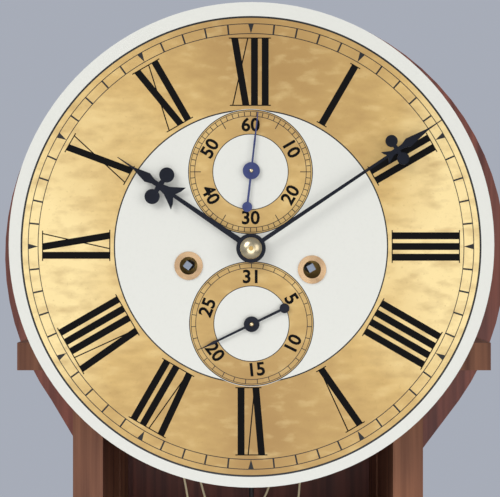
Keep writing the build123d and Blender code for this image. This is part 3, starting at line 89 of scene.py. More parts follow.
def display(red: float, green: float, blue: float) -> Colour:
    """Turn a colour as it looks on screen into the linear values that a shader takes.

    Args:
        red: red, 0 to 1.
        green: green, 0 to 1.
        blue: blue, 0 to 1.

    Returns:
        The linear colour.
    """

    def one(value: float) -> float:
        """Undo the screen's gamma for one channel.

        Args:
            value: the channel, 0 to 1.

        Returns:
            Its linear value.
        """
        return value / 12.92 if value <= 0.04045 else ((value + 0.055) / 1.055) ** 2.4

    return (one(red), one(green), one(blue))


# Shader building


class Wire:
    """A shader socket, or a plain number, that takes part in arithmetic."""

    def __init__(self, paint: "Paint", value: Any) -> None:
        """Keep the material that the maths is added to, and the socket or number.

        Args:
            paint: the material that the maths is added to.
            value: the socket or number.
        """
        self.paint = paint
        self.value = value

    def _math(self, operation: str, *others: Any) -> "Wire":
        """Add one Math node.

        Args:
            operation: the node's operation.
            others: further operands, as numbers or wires.

        Returns:
            The node's output.
        """
        values = {0: self.value}
        for index, other in enumerate(others, start=1):
            values[index] = other.value if isinstance(other, Wire) else other
        return self.paint.node("ShaderNodeMath", values, operation=operation)

    def __add__(self, other: Any) -> "Wire":
        """This plus other.

        Args:
            other: the other value, as a number or a wire.

        Returns:
            The result.
        """
        return self._math("ADD", other)

    __radd__ = __add__

    def __mul__(self, other: Any) -> "Wire":
        """This times other.

        Args:
            other: the other value, as a number or a wire.

        Returns:
            The result.
        """
        return self._math("MULTIPLY", other)

    __rmul__ = __mul__

    def __sub__(self, other: Any) -> "Wire":
        """This less other.

        Args:
            other: the other value, as a number or a wire.

        Returns:
            The result.
        """
        return self._math("SUBTRACT", other)

    def __rsub__(self, other: float) -> "Wire":
        """A number less this.

        Args:
            other: the other value, as a number or a wire.

        Returns:
            The result.
        """
        return Wire(self.paint, float(other))._math("SUBTRACT", self)

    def __truediv__(self, other: Any) -> "Wire":
        """This over other.

        Args:
            other: the other value, as a number or a wire.

        Returns:
            The result.
        """
        return self._math("DIVIDE", other)

    def __lt__(self, other: Any) -> "Wire":
        """One where this is under other.

        Args:
            other: the other value, as a number or a wire.

        Returns:
            The result.
        """
        return self._math("LESS_THAN", other)

    def __gt__(self, other: Any) -> "Wire":
        """One where this is over other.

        Args:
            other: the other value, as a number or a wire.

        Returns:
            The result.
        """
        return self._math("GREATER_THAN", other)

    def sine(self) -> "Wire":
        """Sine of an angle in radians.

        Returns:
            The sine.
        """
        return self._math("SINE")

    def size(self) -> "Wire":
        """The value without its sign.

        Returns:
            The value, never negative.
        """
        return self._math("ABSOLUTE")

    def root(self) -> "Wire":
        """Square root.

        Returns:
            The root.
        """
        return self._math("SQRT")

    def beyond(self, other: Any) -> "Wire":
        """The larger of two values.

        Args:
            other: the other value, as a number or a wire.

        Returns:
            The larger value.
        """
        return self._math("MAXIMUM", other)

    def within(self, low: float, high: float) -> "Wire":
        """One where low < this < high.

        Args:
            low: the lower bound.
            high: the upper bound.

        Returns:
            One or nought.
        """
        return (self > low) * (self < high)

    def bearing_from(self, other: "Wire") -> "Wire":
        """Angle whose tangent is this over other.

        Args:
            other: the side next to the angle.

        Returns:
            The angle in radians.
        """
        return self._math("ARCTAN2", other)


class Paint:
    """A material being built, with its principled shader."""

    def __init__(self, name: str) -> None:
        """Start an empty material with that name.

        Args:
            name: the material's name.
        """
        self.material = bpy.data.materials.new(name)
        self.material.use_nodes = True
        self.tree = self.material.node_tree
        self.shader = self.tree.nodes["Principled BSDF"]

    def node(
        self, kind: str, values: dict[Any, Any] | None = None, output: Any = 0, **settings: Any
    ) -> Wire:
        """Add a node.

        Args:
            kind: the node's type.
            values: numbers, colours or wires for its sockets, by name or number.
            output: which output is returned.
            settings: the node's own settings, set first.

        Returns:
            The chosen output.
        """
        made = self.tree.nodes.new(kind)
        stops = settings.pop("stops", None)
        for key, setting in settings.items():
            setattr(made, key, setting)
        if stops:
            ramp = made.color_ramp.elements
            while len(ramp) < len(stops):
                ramp.new(0.5)
            for element, (place, colour) in zip(ramp, stops):
                element.position = place
                element.color = (*colour, 1.0)
        for key, value in (values or {}).items():
            value = value.value if isinstance(value, Wire) else value
            if isinstance(value, bpy.types.NodeSocket):
                self.tree.links.new(value, made.inputs[key])
            elif isinstance(value, tuple) and len(value) == 3 and made.inputs[key].type == "RGBA":
                made.inputs[key].default_value = (*value, 1.0)
            else:
                made.inputs[key].default_value = value
        return Wire(self, made.outputs[output])

    def place(self) -> Wire:
        """Object coordinates, which are the part's frame in metres.

        Returns:
            The coordinates.
        """
        return self.node("ShaderNodeTexCoord", output="Object")

    def axes(self) -> tuple[Wire, Wire, Wire]:
        """The three object coordinates as separate numbers.

        Returns:
            x, y and z.
        """
        split = self.node("ShaderNodeSeparateXYZ", {0: self.place()})
        outputs = split.value.node.outputs
        return Wire(self, outputs[0]), Wire(self, outputs[1]), Wire(self, outputs[2])

    def noise(self, scale: float, detail: float = 3.0, stretch: Point = (1.0, 1.0, 1.0)) -> Wire:
        """Even noise from 0 to 1.

        Args:
            scale: patches to the metre.
            detail: octaves.
            stretch: factors along the three axes.

        Returns:
            The noise value.
        """
        where = self.node("ShaderNodeMapping", {"Vector": self.place(), "Scale": stretch})
        return self.node("ShaderNodeTexNoise", {"Vector": where, "Scale": scale, "Detail": detail})

    def blend(self, share: Any, first: Any, second: Any) -> Wire:
        """A mix of two colours.

        Args:
            share: how much of the second, 0 to 1.
            first: a colour or wire.
            second: a colour or wire.

        Returns:
            The mixed colour.
        """
        return self.node("ShaderNodeMix", {0: share, 6: first, 7: second}, output=2, data_type="RGBA")

    def give(self, name: str, value: Any) -> None:
        """Set or link one socket of the principled shader.

        Args:
            name: the socket's name.
            value: a number, a colour or a wire.
        """
        socket = self.shader.inputs[name]
        if isinstance(value, Wire):
            self.tree.links.new(value.value, socket)
        elif isinstance(value, tuple):
            socket.default_value = (*value, 1.0)
        else:
            socket.default_value = value

    def bump(self, height: Wire, strength: float, distance: float) -> None:
        """Roughen the surface's normal by a height.

        Args:
            height: the varying height.
            strength: 0 to 1.
            distance: metres of full height.
        """
        values = {"Height": height, "Strength": strength, "Distance": distance}
        self.give("Normal", self.node("ShaderNodeBump", values))


# Finishes


@dataclass(frozen=True)
class Wood:
    """Planed wood with an upright grain."""

    name: str
    light: Colour
    dark: Colour
    gloss: float = 0.5
    grain: Point = (140.0, 140.0, 4.0)

    def build(self) -> bpy.types.Material:
        """Make the material from long streaks of noise and broad patches of wear.

        Returns:
            The new material.
        """
        paint = Paint(self.name)
        streak = paint.noise(1.0, 4.0, self.grain)
        patch = paint.noise(14.0, 2.0)
        share = ((streak - 0.5) * 1.9 + 0.5) * 0.75 + patch * 0.3
        colour = paint.node(
            "ShaderNodeValToRGB", {0: share}, stops=[(0.25, self.dark), (0.75, self.light)]
        )
        paint.give("Base Color", colour)
        paint.give("Roughness", patch * 0.25 + self.gloss)
        paint.bump(streak, 0.25, 0.0004)
        return paint.material


@dataclass(frozen=True)
class Metal:
    """A worked metal with faint mottling."""

    name: str
    colour: Colour
    tarnish: Colour
    roughness: float
    metallic: float = 1.0
    scale: float = 90.0

    def build(self) -> bpy.types.Material:
        """Make the material from two octaves of mottling.

        Returns:
            The new material.
        """
        paint = Paint(self.name)
        mottle = paint.noise(self.scale, 3.0)
        share = (mottle - 0.45) * 1.6
        paint.give("Base Color", paint.blend(share.beyond(0.0), self.colour, self.tarnish))
        paint.give("Roughness", mottle * 0.2 + (self.roughness - 0.1))
        paint.give("Metallic", self.metallic)
        return paint.material


@dataclass(frozen=True)
class DialFace:
    """White paint with a gilt chapter ring, two gilt subsidiary rings and their black lines."""

    name: str = "dial_paint"
    white: Colour = display(0.885, 0.885, 0.855)
    edge: Colour = display(0.80, 0.80, 0.77)
    black: Colour = display(0.035, 0.03, 0.03)
    gilt: Colour = display(0.84, 0.70, 0.43)
    gilt_dark: Colour = display(0.67, 0.52, 0.29)
    gilt_light: Colour = display(0.97, 0.87, 0.62)
    middle: tuple[float, float] = (0.0, 1.16)
    ring: tuple[float, float] = (92.8, 156.0)
    track: tuple[float, float] = (144.7, 151.4)
    small: tuple[tuple[float, float, float], ...] = ((-0.34, 51.9, 60.0), (0.34, -51.3, 31.0))
    small_rings: tuple[float, float, float] = (25.6, 37.9, 42.1)
    ring_lines: tuple[float, float] = (0.9, 1.3)
    track_line: float = 0.55
    minute_half: float = 0.58
    hour_gap: float = 3.0
    wedge_slope: float = 0.29
    small_half: float = 0.26
    long_half: float = 0.28
    long_bar: float = 4.2
    double_gap: float = 1.1
    rear: Colour = display(0.36, 0.34, 0.32)

    def build(self) -> bpy.types.Material:
        """Paint each ring where the distance from its middle is between two radii.

        Returns:
            The new material.
        """
        paint = Paint(self.name)
        x, y, z = paint.axes()

        def polar(place: tuple[float, float]) -> tuple[Wire, Wire]:
            """Measure from a middle on the dial.

            Args:
                place: the middle's x and z in millimetres from the hands' centre.

            Returns:
                The distance in millimetres and the clockwise angle from the top.
            """
            dx = (x - CENTRE_X) * 1000.0 - place[0]
            dz = (z - CENTRE_Z) * 1000.0 - place[1]
            return (dx * dx + dz * dz).root(), dx.bearing_from(dz)

        def line(radius: Wire, at: float, width: float) -> Wire:
            """Mark a thin circle.

            Args:
                radius: distance from the middle.
                at: the circle's radius.
                width: the line's width.

            Returns:
                One on the line.
            """
            return (radius - at).size() < width / 2

        def bars(angle: Wire, count: float, half: float, radius: Wire) -> Wire:
            """Mark even spokes.

            Args:
                angle: angle round the middle.
                count: how many spokes.
                half: half of a spoke's width.
                radius: distance from the middle.

            Returns:
                One on a spoke.
            """
            return (((angle * (count / 2)).sine().size() * radius) * (2 / count)) < half

        radius, angle = polar(self.middle)
        leaf = radius.within(*self.ring)
        ink = line(radius, self.ring[1], self.ring_lines[1]).beyond(line(radius, self.ring[0], self.ring_lines[0]))
        for at in self.track:
            ink = ink.beyond(line(radius, at, self.track_line))
        on_hour = bars(angle, 12.0, self.hour_gap, radius)
        minutes = bars(angle, 60.0, self.minute_half, radius) * (1.0 - on_hour)
        ink = ink.beyond(minutes * radius.within(*self.track))
        spread = (angle * 6.0).sine().size() * radius * (1 / 6)
        ink = ink.beyond((spread < (radius - self.track[0]) * self.wedge_slope) * radius.within(*self.track))
        for px, pz, count in self.small:
            near, turn = polar((px, pz))
            low, mid, high = self.small_rings
            inside = near < high + 0.6
            ink = ink * (1.0 - inside)
            leaf = leaf * (1.0 - inside)
            leaf = leaf.beyond(near.within(low, high))
            inner = high - self.double_gap
            for at, width in ((low, 0.55), (mid, 0.45), (inner, 0.4), (high, 0.6)):
                ink = ink.beyond(line(near, at, width))
            ink = ink.beyond(bars(turn, count, self.small_half, near) * near.within(mid, inner))
            if count == 60.0:
                half = turn + math.radians(30)
                ink = ink.beyond(bars(half, 6.0, self.long_half, near) * near.within(mid - self.long_bar, mid))
        cloud = paint.noise(9.0, 3.0)
        brush = paint.noise(60.0, 5.0, (1.0, 1.0, 2.2))
        speck = paint.noise(420.0, 2.0)
        # Painted sheen: the gilt is drawn lighter towards the left and right of the ring and darker towards its top
        # and bottom, standing in for the lamps' reflection; the cloud noise adds uneven tone patches on top.
        painted_sheen = (x - CENTRE_X).size() * 8.5 - (z - CENTRE_Z).size() * 4.5
        level = cloud * 0.9 - painted_sheen * 0.55 + 0.12
        stops = [(0.05, self.gilt_light), (0.42, self.gilt), (0.95, self.gilt_dark)]
        tone = paint.node("ShaderNodeValToRGB", {0: level}, stops=stops)
        gold = paint.blend(((brush - 0.46) * 3.4).beyond(0.0) * 0.5, tone, self.gilt_dark)
        gold = paint.blend(((0.46 - brush) * 3.4).beyond(0.0) * 0.45, gold, self.gilt_light)
        gold = paint.blend(((speck - 0.62) * 4.0).beyond(0.0) * 0.4, gold, self.gilt_dark)
        front = y < (DIAL_FRONT + 0.0003)
        ground = paint.blend((speck - 0.5).beyond(0.0) * 0.4, self.white, self.edge)
        colour = paint.blend(leaf, ground, gold)
        colour = paint.blend(ink, colour, self.black)
        paint.give("Base Color", paint.blend(front, self.rear, colour))
        paint.give("Roughness", leaf * 0.10 + 0.36)
        paint.give("Metallic", leaf * 0.12)
        return paint.material


@dataclass(frozen=True)
class SquaredArbor:
    """Barrel brass, with a filed steel arbor ahead of the movement."""

    name: str
    brass: Colour = display(0.80, 0.66, 0.40)
    steel: Colour = display(0.50, 0.53, 0.58)

    def build(self) -> bpy.types.Material:
        """Choose the metal by the distance from the dial.

        Returns:
            The new material.
        """
        paint = Paint(self.name)
        _, depth, _ = paint.axes()
        mottle = paint.noise(90.0, 3.0)
        ahead = depth < (DIAL_FRONT + 0.050)
        paint.give("Base Color", paint.blend(ahead, self.brass, self.steel))
        paint.give("Roughness", mottle * 0.2 + 0.28)
        paint.give("Metallic", 1.0)
        return paint.material


@dataclass(frozen=True)
class Plain:
    """One even colour."""

    name: str
    colour: Colour
    roughness: float
    specular: float = 0.5

    def build(self) -> bpy.types.Material:
        """Make a material with constant sockets.

        Returns:
            The new material.
        """
        paint = Paint(self.name)
        paint.give("Base Color", self.colour)
        paint.give("Roughness", self.roughness)
        paint.give("Specular IOR Level", self.specular)
        return paint.material


FINISHES: dict[str, Any] = {
    "mahogany": Wood("waxed_mahogany", display(0.53, 0.28, 0.215), display(0.34, 0.14, 0.10), 0.38),
    "oak": Wood("raw_boards", display(0.58, 0.38, 0.27), display(0.37, 0.21, 0.14), 0.6),
    "dial_white": DialFace(),
    "blued_steel": Metal("blued_steel", display(0.11, 0.12, 0.155), display(0.06, 0.06, 0.08), 0.36, 0.8),
    "brass": Metal("aged_brass", display(0.80, 0.66, 0.40), display(0.55, 0.43, 0.25), 0.36),
    "pale_brass": Metal("polished_collet", display(0.86, 0.80, 0.66), display(0.62, 0.55, 0.42), 0.25),
    "steel": Metal("filed_steel", display(0.60, 0.60, 0.61), display(0.42, 0.41, 0.40), 0.38),
    "iron": Metal("cast_iron", display(0.25, 0.24, 0.24), display(0.16, 0.14, 0.13), 0.6, 0.5),
    "bell_metal": Metal("bell_metal", display(0.76, 0.66, 0.45), display(0.55, 0.46, 0.30), 0.32),
    "gut": Plain("gut", display(0.80, 0.74, 0.60), 0.45),
    "squared_arbor": SquaredArbor("squared_arbor"),
    "grommet": Metal("bronzed_grommet", display(0.72, 0.60, 0.46), display(0.45, 0.34, 0.25), 0.24),
    "bright_blue": Metal("bright_blue_steel", display(0.27, 0.30, 0.47), display(0.16, 0.18, 0.32), 0.32, 0.8),
}

# Nodes whose look isn't that of their slot
OWN_LOOKS: dict[str, str] = {
    "going_barrel": "squared_arbor",
    "strike_barrel": "squared_arbor",
    "winding_grommets": "grommet",
    "seconds_hand": "bright_blue",
    # The pendulum rod takes the dark cast-iron finish instead of its steel slot: partly the dull look of an iron rod,
    # partly painted shade for the dark trunk it hangs in.
    "pendulum_rod": "iron",
}


# Meshes


def piece(
    name: str, points: np.ndarray, faces: np.ndarray | Sequence, body: str, look: Any
) -> bpy.types.Object:
    """Make an object from arrays, dress it and let it ride on a body.

    Args:
        name: the piece's name.
        points: n by 3 places in metres.
        faces: lists of corner numbers.
        body: the body that carries it.
        look: its material.

    Returns:
        The new object.
    """
    mesh = bpy.data.meshes.new(name)
    mesh.from_pydata(np.asarray(points, float).tolist(), [], [list(map(int, f)) for f in faces])
    mesh.validate()
    mesh.materials.append(look)
    made = bpy.data.objects.new(name, mesh)
    bpy.context.scene.collection.objects.link(made)
    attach(made, body)
    log.info("%s: %d faces", name, len(mesh.polygons))
    return made


def plates(outlines: Sequence[np.ndarray], depth: float, thick: float) -> tuple[np.ndarray, list[list[int]]]:
    """Turn flat outlines into thin closed plates that face the viewer.

    Args:
        outlines: each an n by 2 array of x and z in metres, anticlockwise as the viewer sees it.
        depth: y of the plates' rear faces.
        thick: how far they stand forward.

    Returns:
        The points, and the faces as lists.
    """
    points: list[np.ndarray] = []
    faces: list[list[int]] = []
    start = 0
    for outline in outlines:
        count = len(outline)
        rear = np.column_stack([outline[:, 0], np.full(count, depth), outline[:, 1]])
        front = rear - [0, thick, 0]
        points += [rear, front]
        faces.append(list(range(start + count, start + 2 * count)))
        faces.append(list(range(start + count - 1, start - 1, -1)))
        near = np.arange(count)
        after = (near + 1) % count
        corners = [start + near, start + after, start + count + after, start + count + near]
        faces += np.column_stack(corners).tolist()
        start += 2 * count
    return np.vstack(points), faces


@dataclass
class Print:
    """The black numerals of the dial."""

    depth: float = DIAL_FRONT
    film: float = 0.04 * MM
    low: float = 95.6
    high: float = 142.0
    thick: float = 4.7
    thin: float = 0.8
    serif: float = 0.7
    overhang: float = 1.5
    middle: tuple[float, float] = (0.0, 1.16)
    numerals: tuple[str, ...] = ("XII", "I", "II", "III", "IIII", "V", "VI", "VII", "VIII", "IX", "X", "XI")

    def strokes(self, numeral: str) -> list[list[tuple[float, float, float, float]]]:
        """Lay out a numeral's strokes.

        Args:
            numeral: letters I, V and X.

        Returns:
            One list for each stroke of (foot x, head x, half width, 0 or 1 for a fine stroke).
        """
        widths = {"I": 7.3, "V": 13.5, "X": 12.0}
        total = sum(widths[letter] for letter in numeral)
        at = -total / 2
        found: list[list[tuple[float, float, float, float]]] = []
        for letter in numeral:
            middle = at + widths[letter] / 2
            if letter == "I":
                found.append([(middle, middle, self.thick / 2, 0)])
            elif letter == "V":
                found.append([(middle + 0.4, middle - 3.6, self.thick / 2, 0)])
                found.append([(middle + 1.2, middle + 5.6, self.thin / 2, 1)])
            else:
                found.append([(middle + 3.9, middle - 3.9, self.thick / 2, 0)])
                found.append([(middle - 5.2, middle + 5.2, self.thin / 2, 1)])
            at += widths[letter]
        return found

    def outline(self, stroke: tuple[float, float, float, float], turn: float) -> np.ndarray:
        """A stroke's four corners between the two radii, turned to its hour.

        Args:
            stroke: foot x, head x, half width and kind.
            turn: clockwise angle in radians.

        Returns:
            A 4 by 2 array of x and z in metres.
        """
        foot, head, half, _ = stroke
        low, high = self.low, self.high
        return self.placed([(foot - half, low), (foot + half, low), (head + half, high), (head - half, high)], turn)

    def placed(self, corners: Sequence[tuple[float, float]], turn: float) -> np.ndarray:
        """Turn corners that were laid out at twelve to their hour.

        Args:
            corners: places across and outward, in millimetres from the ring's middle.
            turn: clockwise angle in radians.

        Returns:
            An n by 2 array of x and z in metres.
        """
        shape = np.array(corners)
        c, s = math.cos(turn), math.sin(turn)
        x = shape[:, 0] * c + shape[:, 1] * s + self.middle[0]
        z = shape[:, 1] * c - shape[:, 0] * s + self.middle[1]
        return np.column_stack([CENTRE_X + x * MM, CENTRE_Z + z * MM])

    def serifs(self, numeral: str, turn: float) -> list[np.ndarray]:
        """Fine bars that close a numeral at its head and its foot.

        Args:
            numeral: letters I, V and X.
            turn: clockwise angle in radians.

        Returns:
            Two outlines, at the foot and at the head.
        """
        strokes = [stroke for group in self.strokes(numeral) for stroke in group]
        found = []
        for which, radius in ((0, self.low), (1, self.high - self.serif)):
            left = min(stroke[which] - stroke[2] for stroke in strokes) - self.overhang
            right = max(stroke[which] + stroke[2] for stroke in strokes) + self.overhang
            far = radius + self.serif
            found.append(self.placed([(left, radius), (right, radius), (right, far), (left, far)], turn))
        return found

    def build(self, look: bpy.types.Material) -> None:
        """Make the twelve numerals as films of paint, feet toward the centre.

        Args:
            look: their material.
        """
        main, hair = [], []
        for hour, numeral in enumerate(self.numerals):
            turn = math.radians(30 * hour)
            for group in self.strokes(numeral):
                main += [self.outline(stroke, turn) for stroke in group if stroke[3] == 0]
                hair += [self.outline(stroke, turn) for stroke in group if stroke[3] == 1]
            hair += self.serifs(numeral, turn)
        for name, outlines, film in (("numerals", main, self.film), ("numeral_hairlines", hair, self.film * 1.5)):
            points, faces = plates(outlines, self.depth, film)
            piece(name, points, faces, "case", look)


@dataclass
class SmallFigures:
    """Numbers on the seconds and date rings."""

    depth: float = DIAL_FRONT
    height: float = 9.6
    radius: float = 31.6
    film: float = 0.05 * MM
    em: float = 1.3
    bold: float = 0.00034
    stretch: float = 1.02

    def figure(self, text: str, middle: tuple[float, float], turn: float, look: bpy.types.Material) -> None:
        """Make one number upright at its place on a ring.

        Args:
            text: the number.
            middle: the ring's centre, x and z in millimetres from the hands' centre.
            turn: clockwise degrees round the ring.
            look: its material.
        """
        curve = bpy.data.curves.new("figure_" + text, "FONT")
        curve.body = text
        curve.align_x, curve.align_y = "CENTER", "CENTER"
        curve.size = self.height * MM * self.em
        curve.offset = self.bold
        curve.extrude = self.film / 2
        curve.resolution_u = 3
        maker = bpy.data.objects.new("figure_maker", curve)
        bpy.context.scene.collection.objects.link(maker)
        bpy.context.view_layer.update()
        mesh = bpy.data.meshes.new_from_object(maker.evaluated_get(bpy.context.evaluated_depsgraph_get()))
        bpy.data.objects.remove(maker)
        flat = np.zeros(len(mesh.vertices) * 3)
        mesh.vertices.foreach_get("co", flat)
        flat = flat.reshape(-1, 3)
        angle = math.radians(turn)
        c, s = math.cos(angle), math.sin(angle)
        lower = -1.0 if 90 < turn < 270 else 1.0
        lx, lz = flat[:, 0] * self.stretch * lower, flat[:, 1] * lower + self.radius * MM
        x = CENTRE_X + middle[0] * MM + lx * c + lz * s
        z = CENTRE_Z + middle[1] * MM + lz * c - lx * s
        placed = np.column_stack([x, self.depth - self.film / 2 - flat[:, 2], z])
        mesh.vertices.foreach_set("co", placed.ravel())
        mesh.materials.clear()
        mesh.materials.append(look)
        mesh.update()
        made = bpy.data.objects.new(f"figure_{text}_{round(turn)}", mesh)
        bpy.context.scene.collection.objects.link(made)
        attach(made, "case")

    def build(self, look: bpy.types.Material) -> None:
        """Make 10 to 60 on the seconds ring, and 5 to 25 and 31 on the date ring.

        Args:
            look: their material.
        """
        for value in range(10, 70, 10):
            self.figure(str(value), (-0.34, 51.9), value * 6.0, look)
        for value in (5, 10, 15, 20, 25, 31):
            self.figure(str(value), (0.34, -51.3), value * 360 / 31, look)


@dataclass
class Hub:
    """Domed caps on the pivots of the two small hands."""

    look: bpy.types.Material
    rings: tuple[tuple[str, float, float, float], ...] = (
        ("seconds_pivot", 0.2, 52.5, 2.6),
        ("date_pivot", 0.4, -51.5, 2.6),
    )

    def build(self) -> None:
        """Cap each small pivot with a dome: radius times cosine, and height times sine."""
        for name, px, pz, size in self.rings:
            turn = np.linspace(0, 2 * math.pi, 25)[:-1]
            rise = np.linspace(0, math.pi / 2, 5)[:-1]
            grid_t, grid_r = np.meshgrid(turn, rise)
            radius = size * MM / 2 * np.cos(grid_r)
            hand = "seconds_hand" if name == "seconds_pivot" else "date_hand"
            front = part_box(hand)[0].y - 0.0006
            x = CENTRE_X + px * MM + radius * np.cos(grid_t)
            z = CENTRE_Z + pz * MM + radius * np.sin(grid_t)
            y = front - size * MM / 4 * np.sin(grid_r)
            crown = [CENTRE_X + px * MM, front - size * MM / 4, CENTRE_Z + pz * MM]
            points = np.vstack([np.column_stack([x.ravel(), y.ravel(), z.ravel()]), [crown]])
            count = len(turn)
            rings = np.arange(len(rise) - 1)[:, None] * count
            near = np.arange(count)[None, :]
            after = (near + 1) % count
            corners = [rings + near, rings + after, rings + count + after, rings + count + near]
            quads = np.stack(corners, axis=-1).reshape(-1, 4)
            last = (len(rise) - 1) * count
            tip = np.column_stack([last + near[0], last + after[0], np.full(count, len(points) - 1)])
            base = [list(range(count - 1, -1, -1))]
            body = "escape" if name == "seconds_pivot" else "date"
            piece(name, points, quads.tolist() + tip.tolist() + base, body, self.look)


@dataclass
class GutLine:
    """A slack gut line between the movement and a pulley that rests low in the trunk."""

    name: str
    side: Side
    route: tuple[tuple[float, float, float], ...]
    node: str | None = None
    diameter: float = 1.6 * MM
    keep: float = 0.081

    def centreline(self, steps: int = 5) -> np.ndarray:
        """Points along the quadratic curve whose control points are the route.

        Args:
            steps: points for each control point.

        Returns:
            An n by 3 array in metres.
        """
        curve = bpy.data.curves.new(self.name + "_path", "CURVE")
        curve.dimensions = "3D"
        curve.resolution_u = steps
        spline = curve.splines.new("NURBS")
        control = np.array([(CENTRE_X + x * MM, LINE_Y + y * MM, CENTRE_Z + z * MM) for x, y, z in self.route])
        spline.points.add(len(control) - 1)
        spline.points.foreach_set("co", np.column_stack([control, np.ones(len(control))]).ravel())
        spline.order_u = 3
        spline.use_endpoint_u = True
        maker = bpy.data.objects.new(self.name + "_path", curve)
        bpy.context.scene.collection.objects.link(maker)
        bpy.context.view_layer.update()
        mesh = bpy.data.meshes.new_from_object(maker.evaluated_get(bpy.context.evaluated_depsgraph_get()))
        flat = np.zeros(len(mesh.vertices) * 3)
        mesh.vertices.foreach_get("co", flat)
        bpy.data.objects.remove(maker)
        return flat.reshape(-1, 3)

    def build(self, look: bpy.types.Material) -> bpy.types.Object:
        """Carry a ring along the centreline: centre plus radius times two normals' cosine and sine.

        Args:
            look: its material.

        Returns:
            The new object.
        """
        path = self.centreline()
        ahead = np.gradient(path, axis=0)
        ahead /= np.linalg.norm(ahead, axis=1)[:, None]
        across = np.cross(ahead, np.array([0.0, 1.0, 0.0]))
        across /= np.linalg.norm(across, axis=1)[:, None]
        up = np.cross(across, ahead)
        turn = np.linspace(0, 2 * math.pi, 9)[:-1]
        sideways = across[:, None, :] * np.cos(turn)[None, :, None]
        upward = up[:, None, :] * np.sin(turn)[None, :, None]
        ring = self.diameter / 2 * (sideways + upward)
        points = (path[:, None, :] + ring).reshape(-1, 3)
        count, rows = len(turn), np.arange(len(path) - 1)[:, None] * len(turn)
        near = np.arange(count)[None, :]
        after = (near + 1) % count
        corners = [rows + near, rows + count + near, rows + count + after, rows + after]
        quads = np.stack(corners, axis=-1).reshape(-1, 4)
        ends = [list(range(count)), list(range(len(points) - 1, len(points) - 1 - count, -1))]
        made = piece(self.name, points, quads.tolist() + ends, "case", look)
        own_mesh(made)
        if self.node:
            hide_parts(self.node)
        return made


# Control points of the four slack lines, in millimetres: x and z from the hands' centre, y from the lines' plane
PULLEY_DROP = (PULLEY_Z - CENTRE_Z) / MM
GOING_BARREL = (
    (15.25, 0, -13.5), (15.6, 0, -64), (19.6, -1, -104), (20.6, 0, -146), (14.5, 1, -179), (-0.6, 0, -205),
    (-6.0, -2, -256), (0.5, -3, -312), (10.5, -3, -370), (18.0, -1, -428), (22.0, 1, -487), (21.5, 2, -546),
    (17.5, 2, -605), (13.0, 1, -664), (10.8, -1, -723), (11.4, -2, -782), (14.2, -2, -841), (16.8, -1, -900),
    (17.9, 0, -959), (17.6, 1, -1018), (16.6, 1, -1077), (15.8, 0, -1136), (15.3, -0.4, -1195),
    (15.25, 0, -1254), (15.35, 0.2, -1313), (15.25, 0, -1370), (15.25, 0, PULLEY_DROP),
)
GOING_TIED = (
    (44.0, 0, -68), (44.3, 0, -104), (40.5, 1, -142), (35.9, 1, -177), (33.2, 0, -218), (35.4, -2, -272),
    (41.5, -3, -329), (48.5, -3, -386), (54.8, -1, -443), (59.6, 1, -501), (62.4, 2, -560), (62.7, 2, -619),
    (60.7, 1, -678), (57.8, 0, -737), (55.7, -1, -796), (55.6, -2, -855), (57.3, -2, -914), (59.8, -1, -973),
    (61.6, 0, -1032), (62.0, 1, -1091), (61.3, 1, -1150), (60.5, 0, -1209), (60.2, -0.4, -1268),
    (60.35, 0, -1327), (60.25, 0.2, -1384), (60.25, 0, PULLEY_DROP),
)
STRIKE_BARREL = (
    (-69.0, 0, -11.8), (-68.7, 0, -62), (-64.8, -3, -102), (-57.0, -5, -141), (-48.0, -6, -176), (-43.0, -6, -216),
    (-45.0, -5, -271), (-51.0, -3, -328), (-58.5, -1, -385), (-65.0, 1, -442), (-69.8, 2, -500), (-71.8, 3, -559),
    (-70.8, 2, -618), (-67.8, 1, -677), (-65.2, 0, -736), (-64.6, -1, -795), (-66.0, -2, -854), (-68.4, -2, -913),
    (-70.2, -1, -972), (-70.7, 0, -1031), (-70.1, 1, -1090), (-69.3, 1, -1149), (-68.9, 0, -1208),
    (-69.1, -0.3, -1267), (-68.9, 0, -1326), (-69.0, 0.2, -1383), (-69.0, 0, PULLEY_DROP),
)
STRIKE_TIED = (
    (-50.5, 0, -68), (-50.8, 1, -104), (-46.8, 3, -142), (-37.5, 4, -177), (-27.6, 4, -211), (-20.0, 2, -262),
    (-15.5, 0, -318), (-14.6, -2, -376), (-17.0, -3, -434), (-21.2, -3, -492), (-25.2, -2, -551), (-27.6, -1, -610),
    (-28.2, 1, -669), (-27.0, 2, -728), (-24.8, 2, -787), (-22.8, 1, -846), (-21.8, 0, -905), (-22.0, -1, -964),
    (-23.0, -1, -1023), (-24.0, 0, -1082), (-24.4, 1, -1141), (-24.2, 1, -1200), (-23.9, 0, -1259),
    (-24.1, -0.3, -1318), (-24.0, 0, -1376), (-24.0, 0, PULLEY_DROP),
)


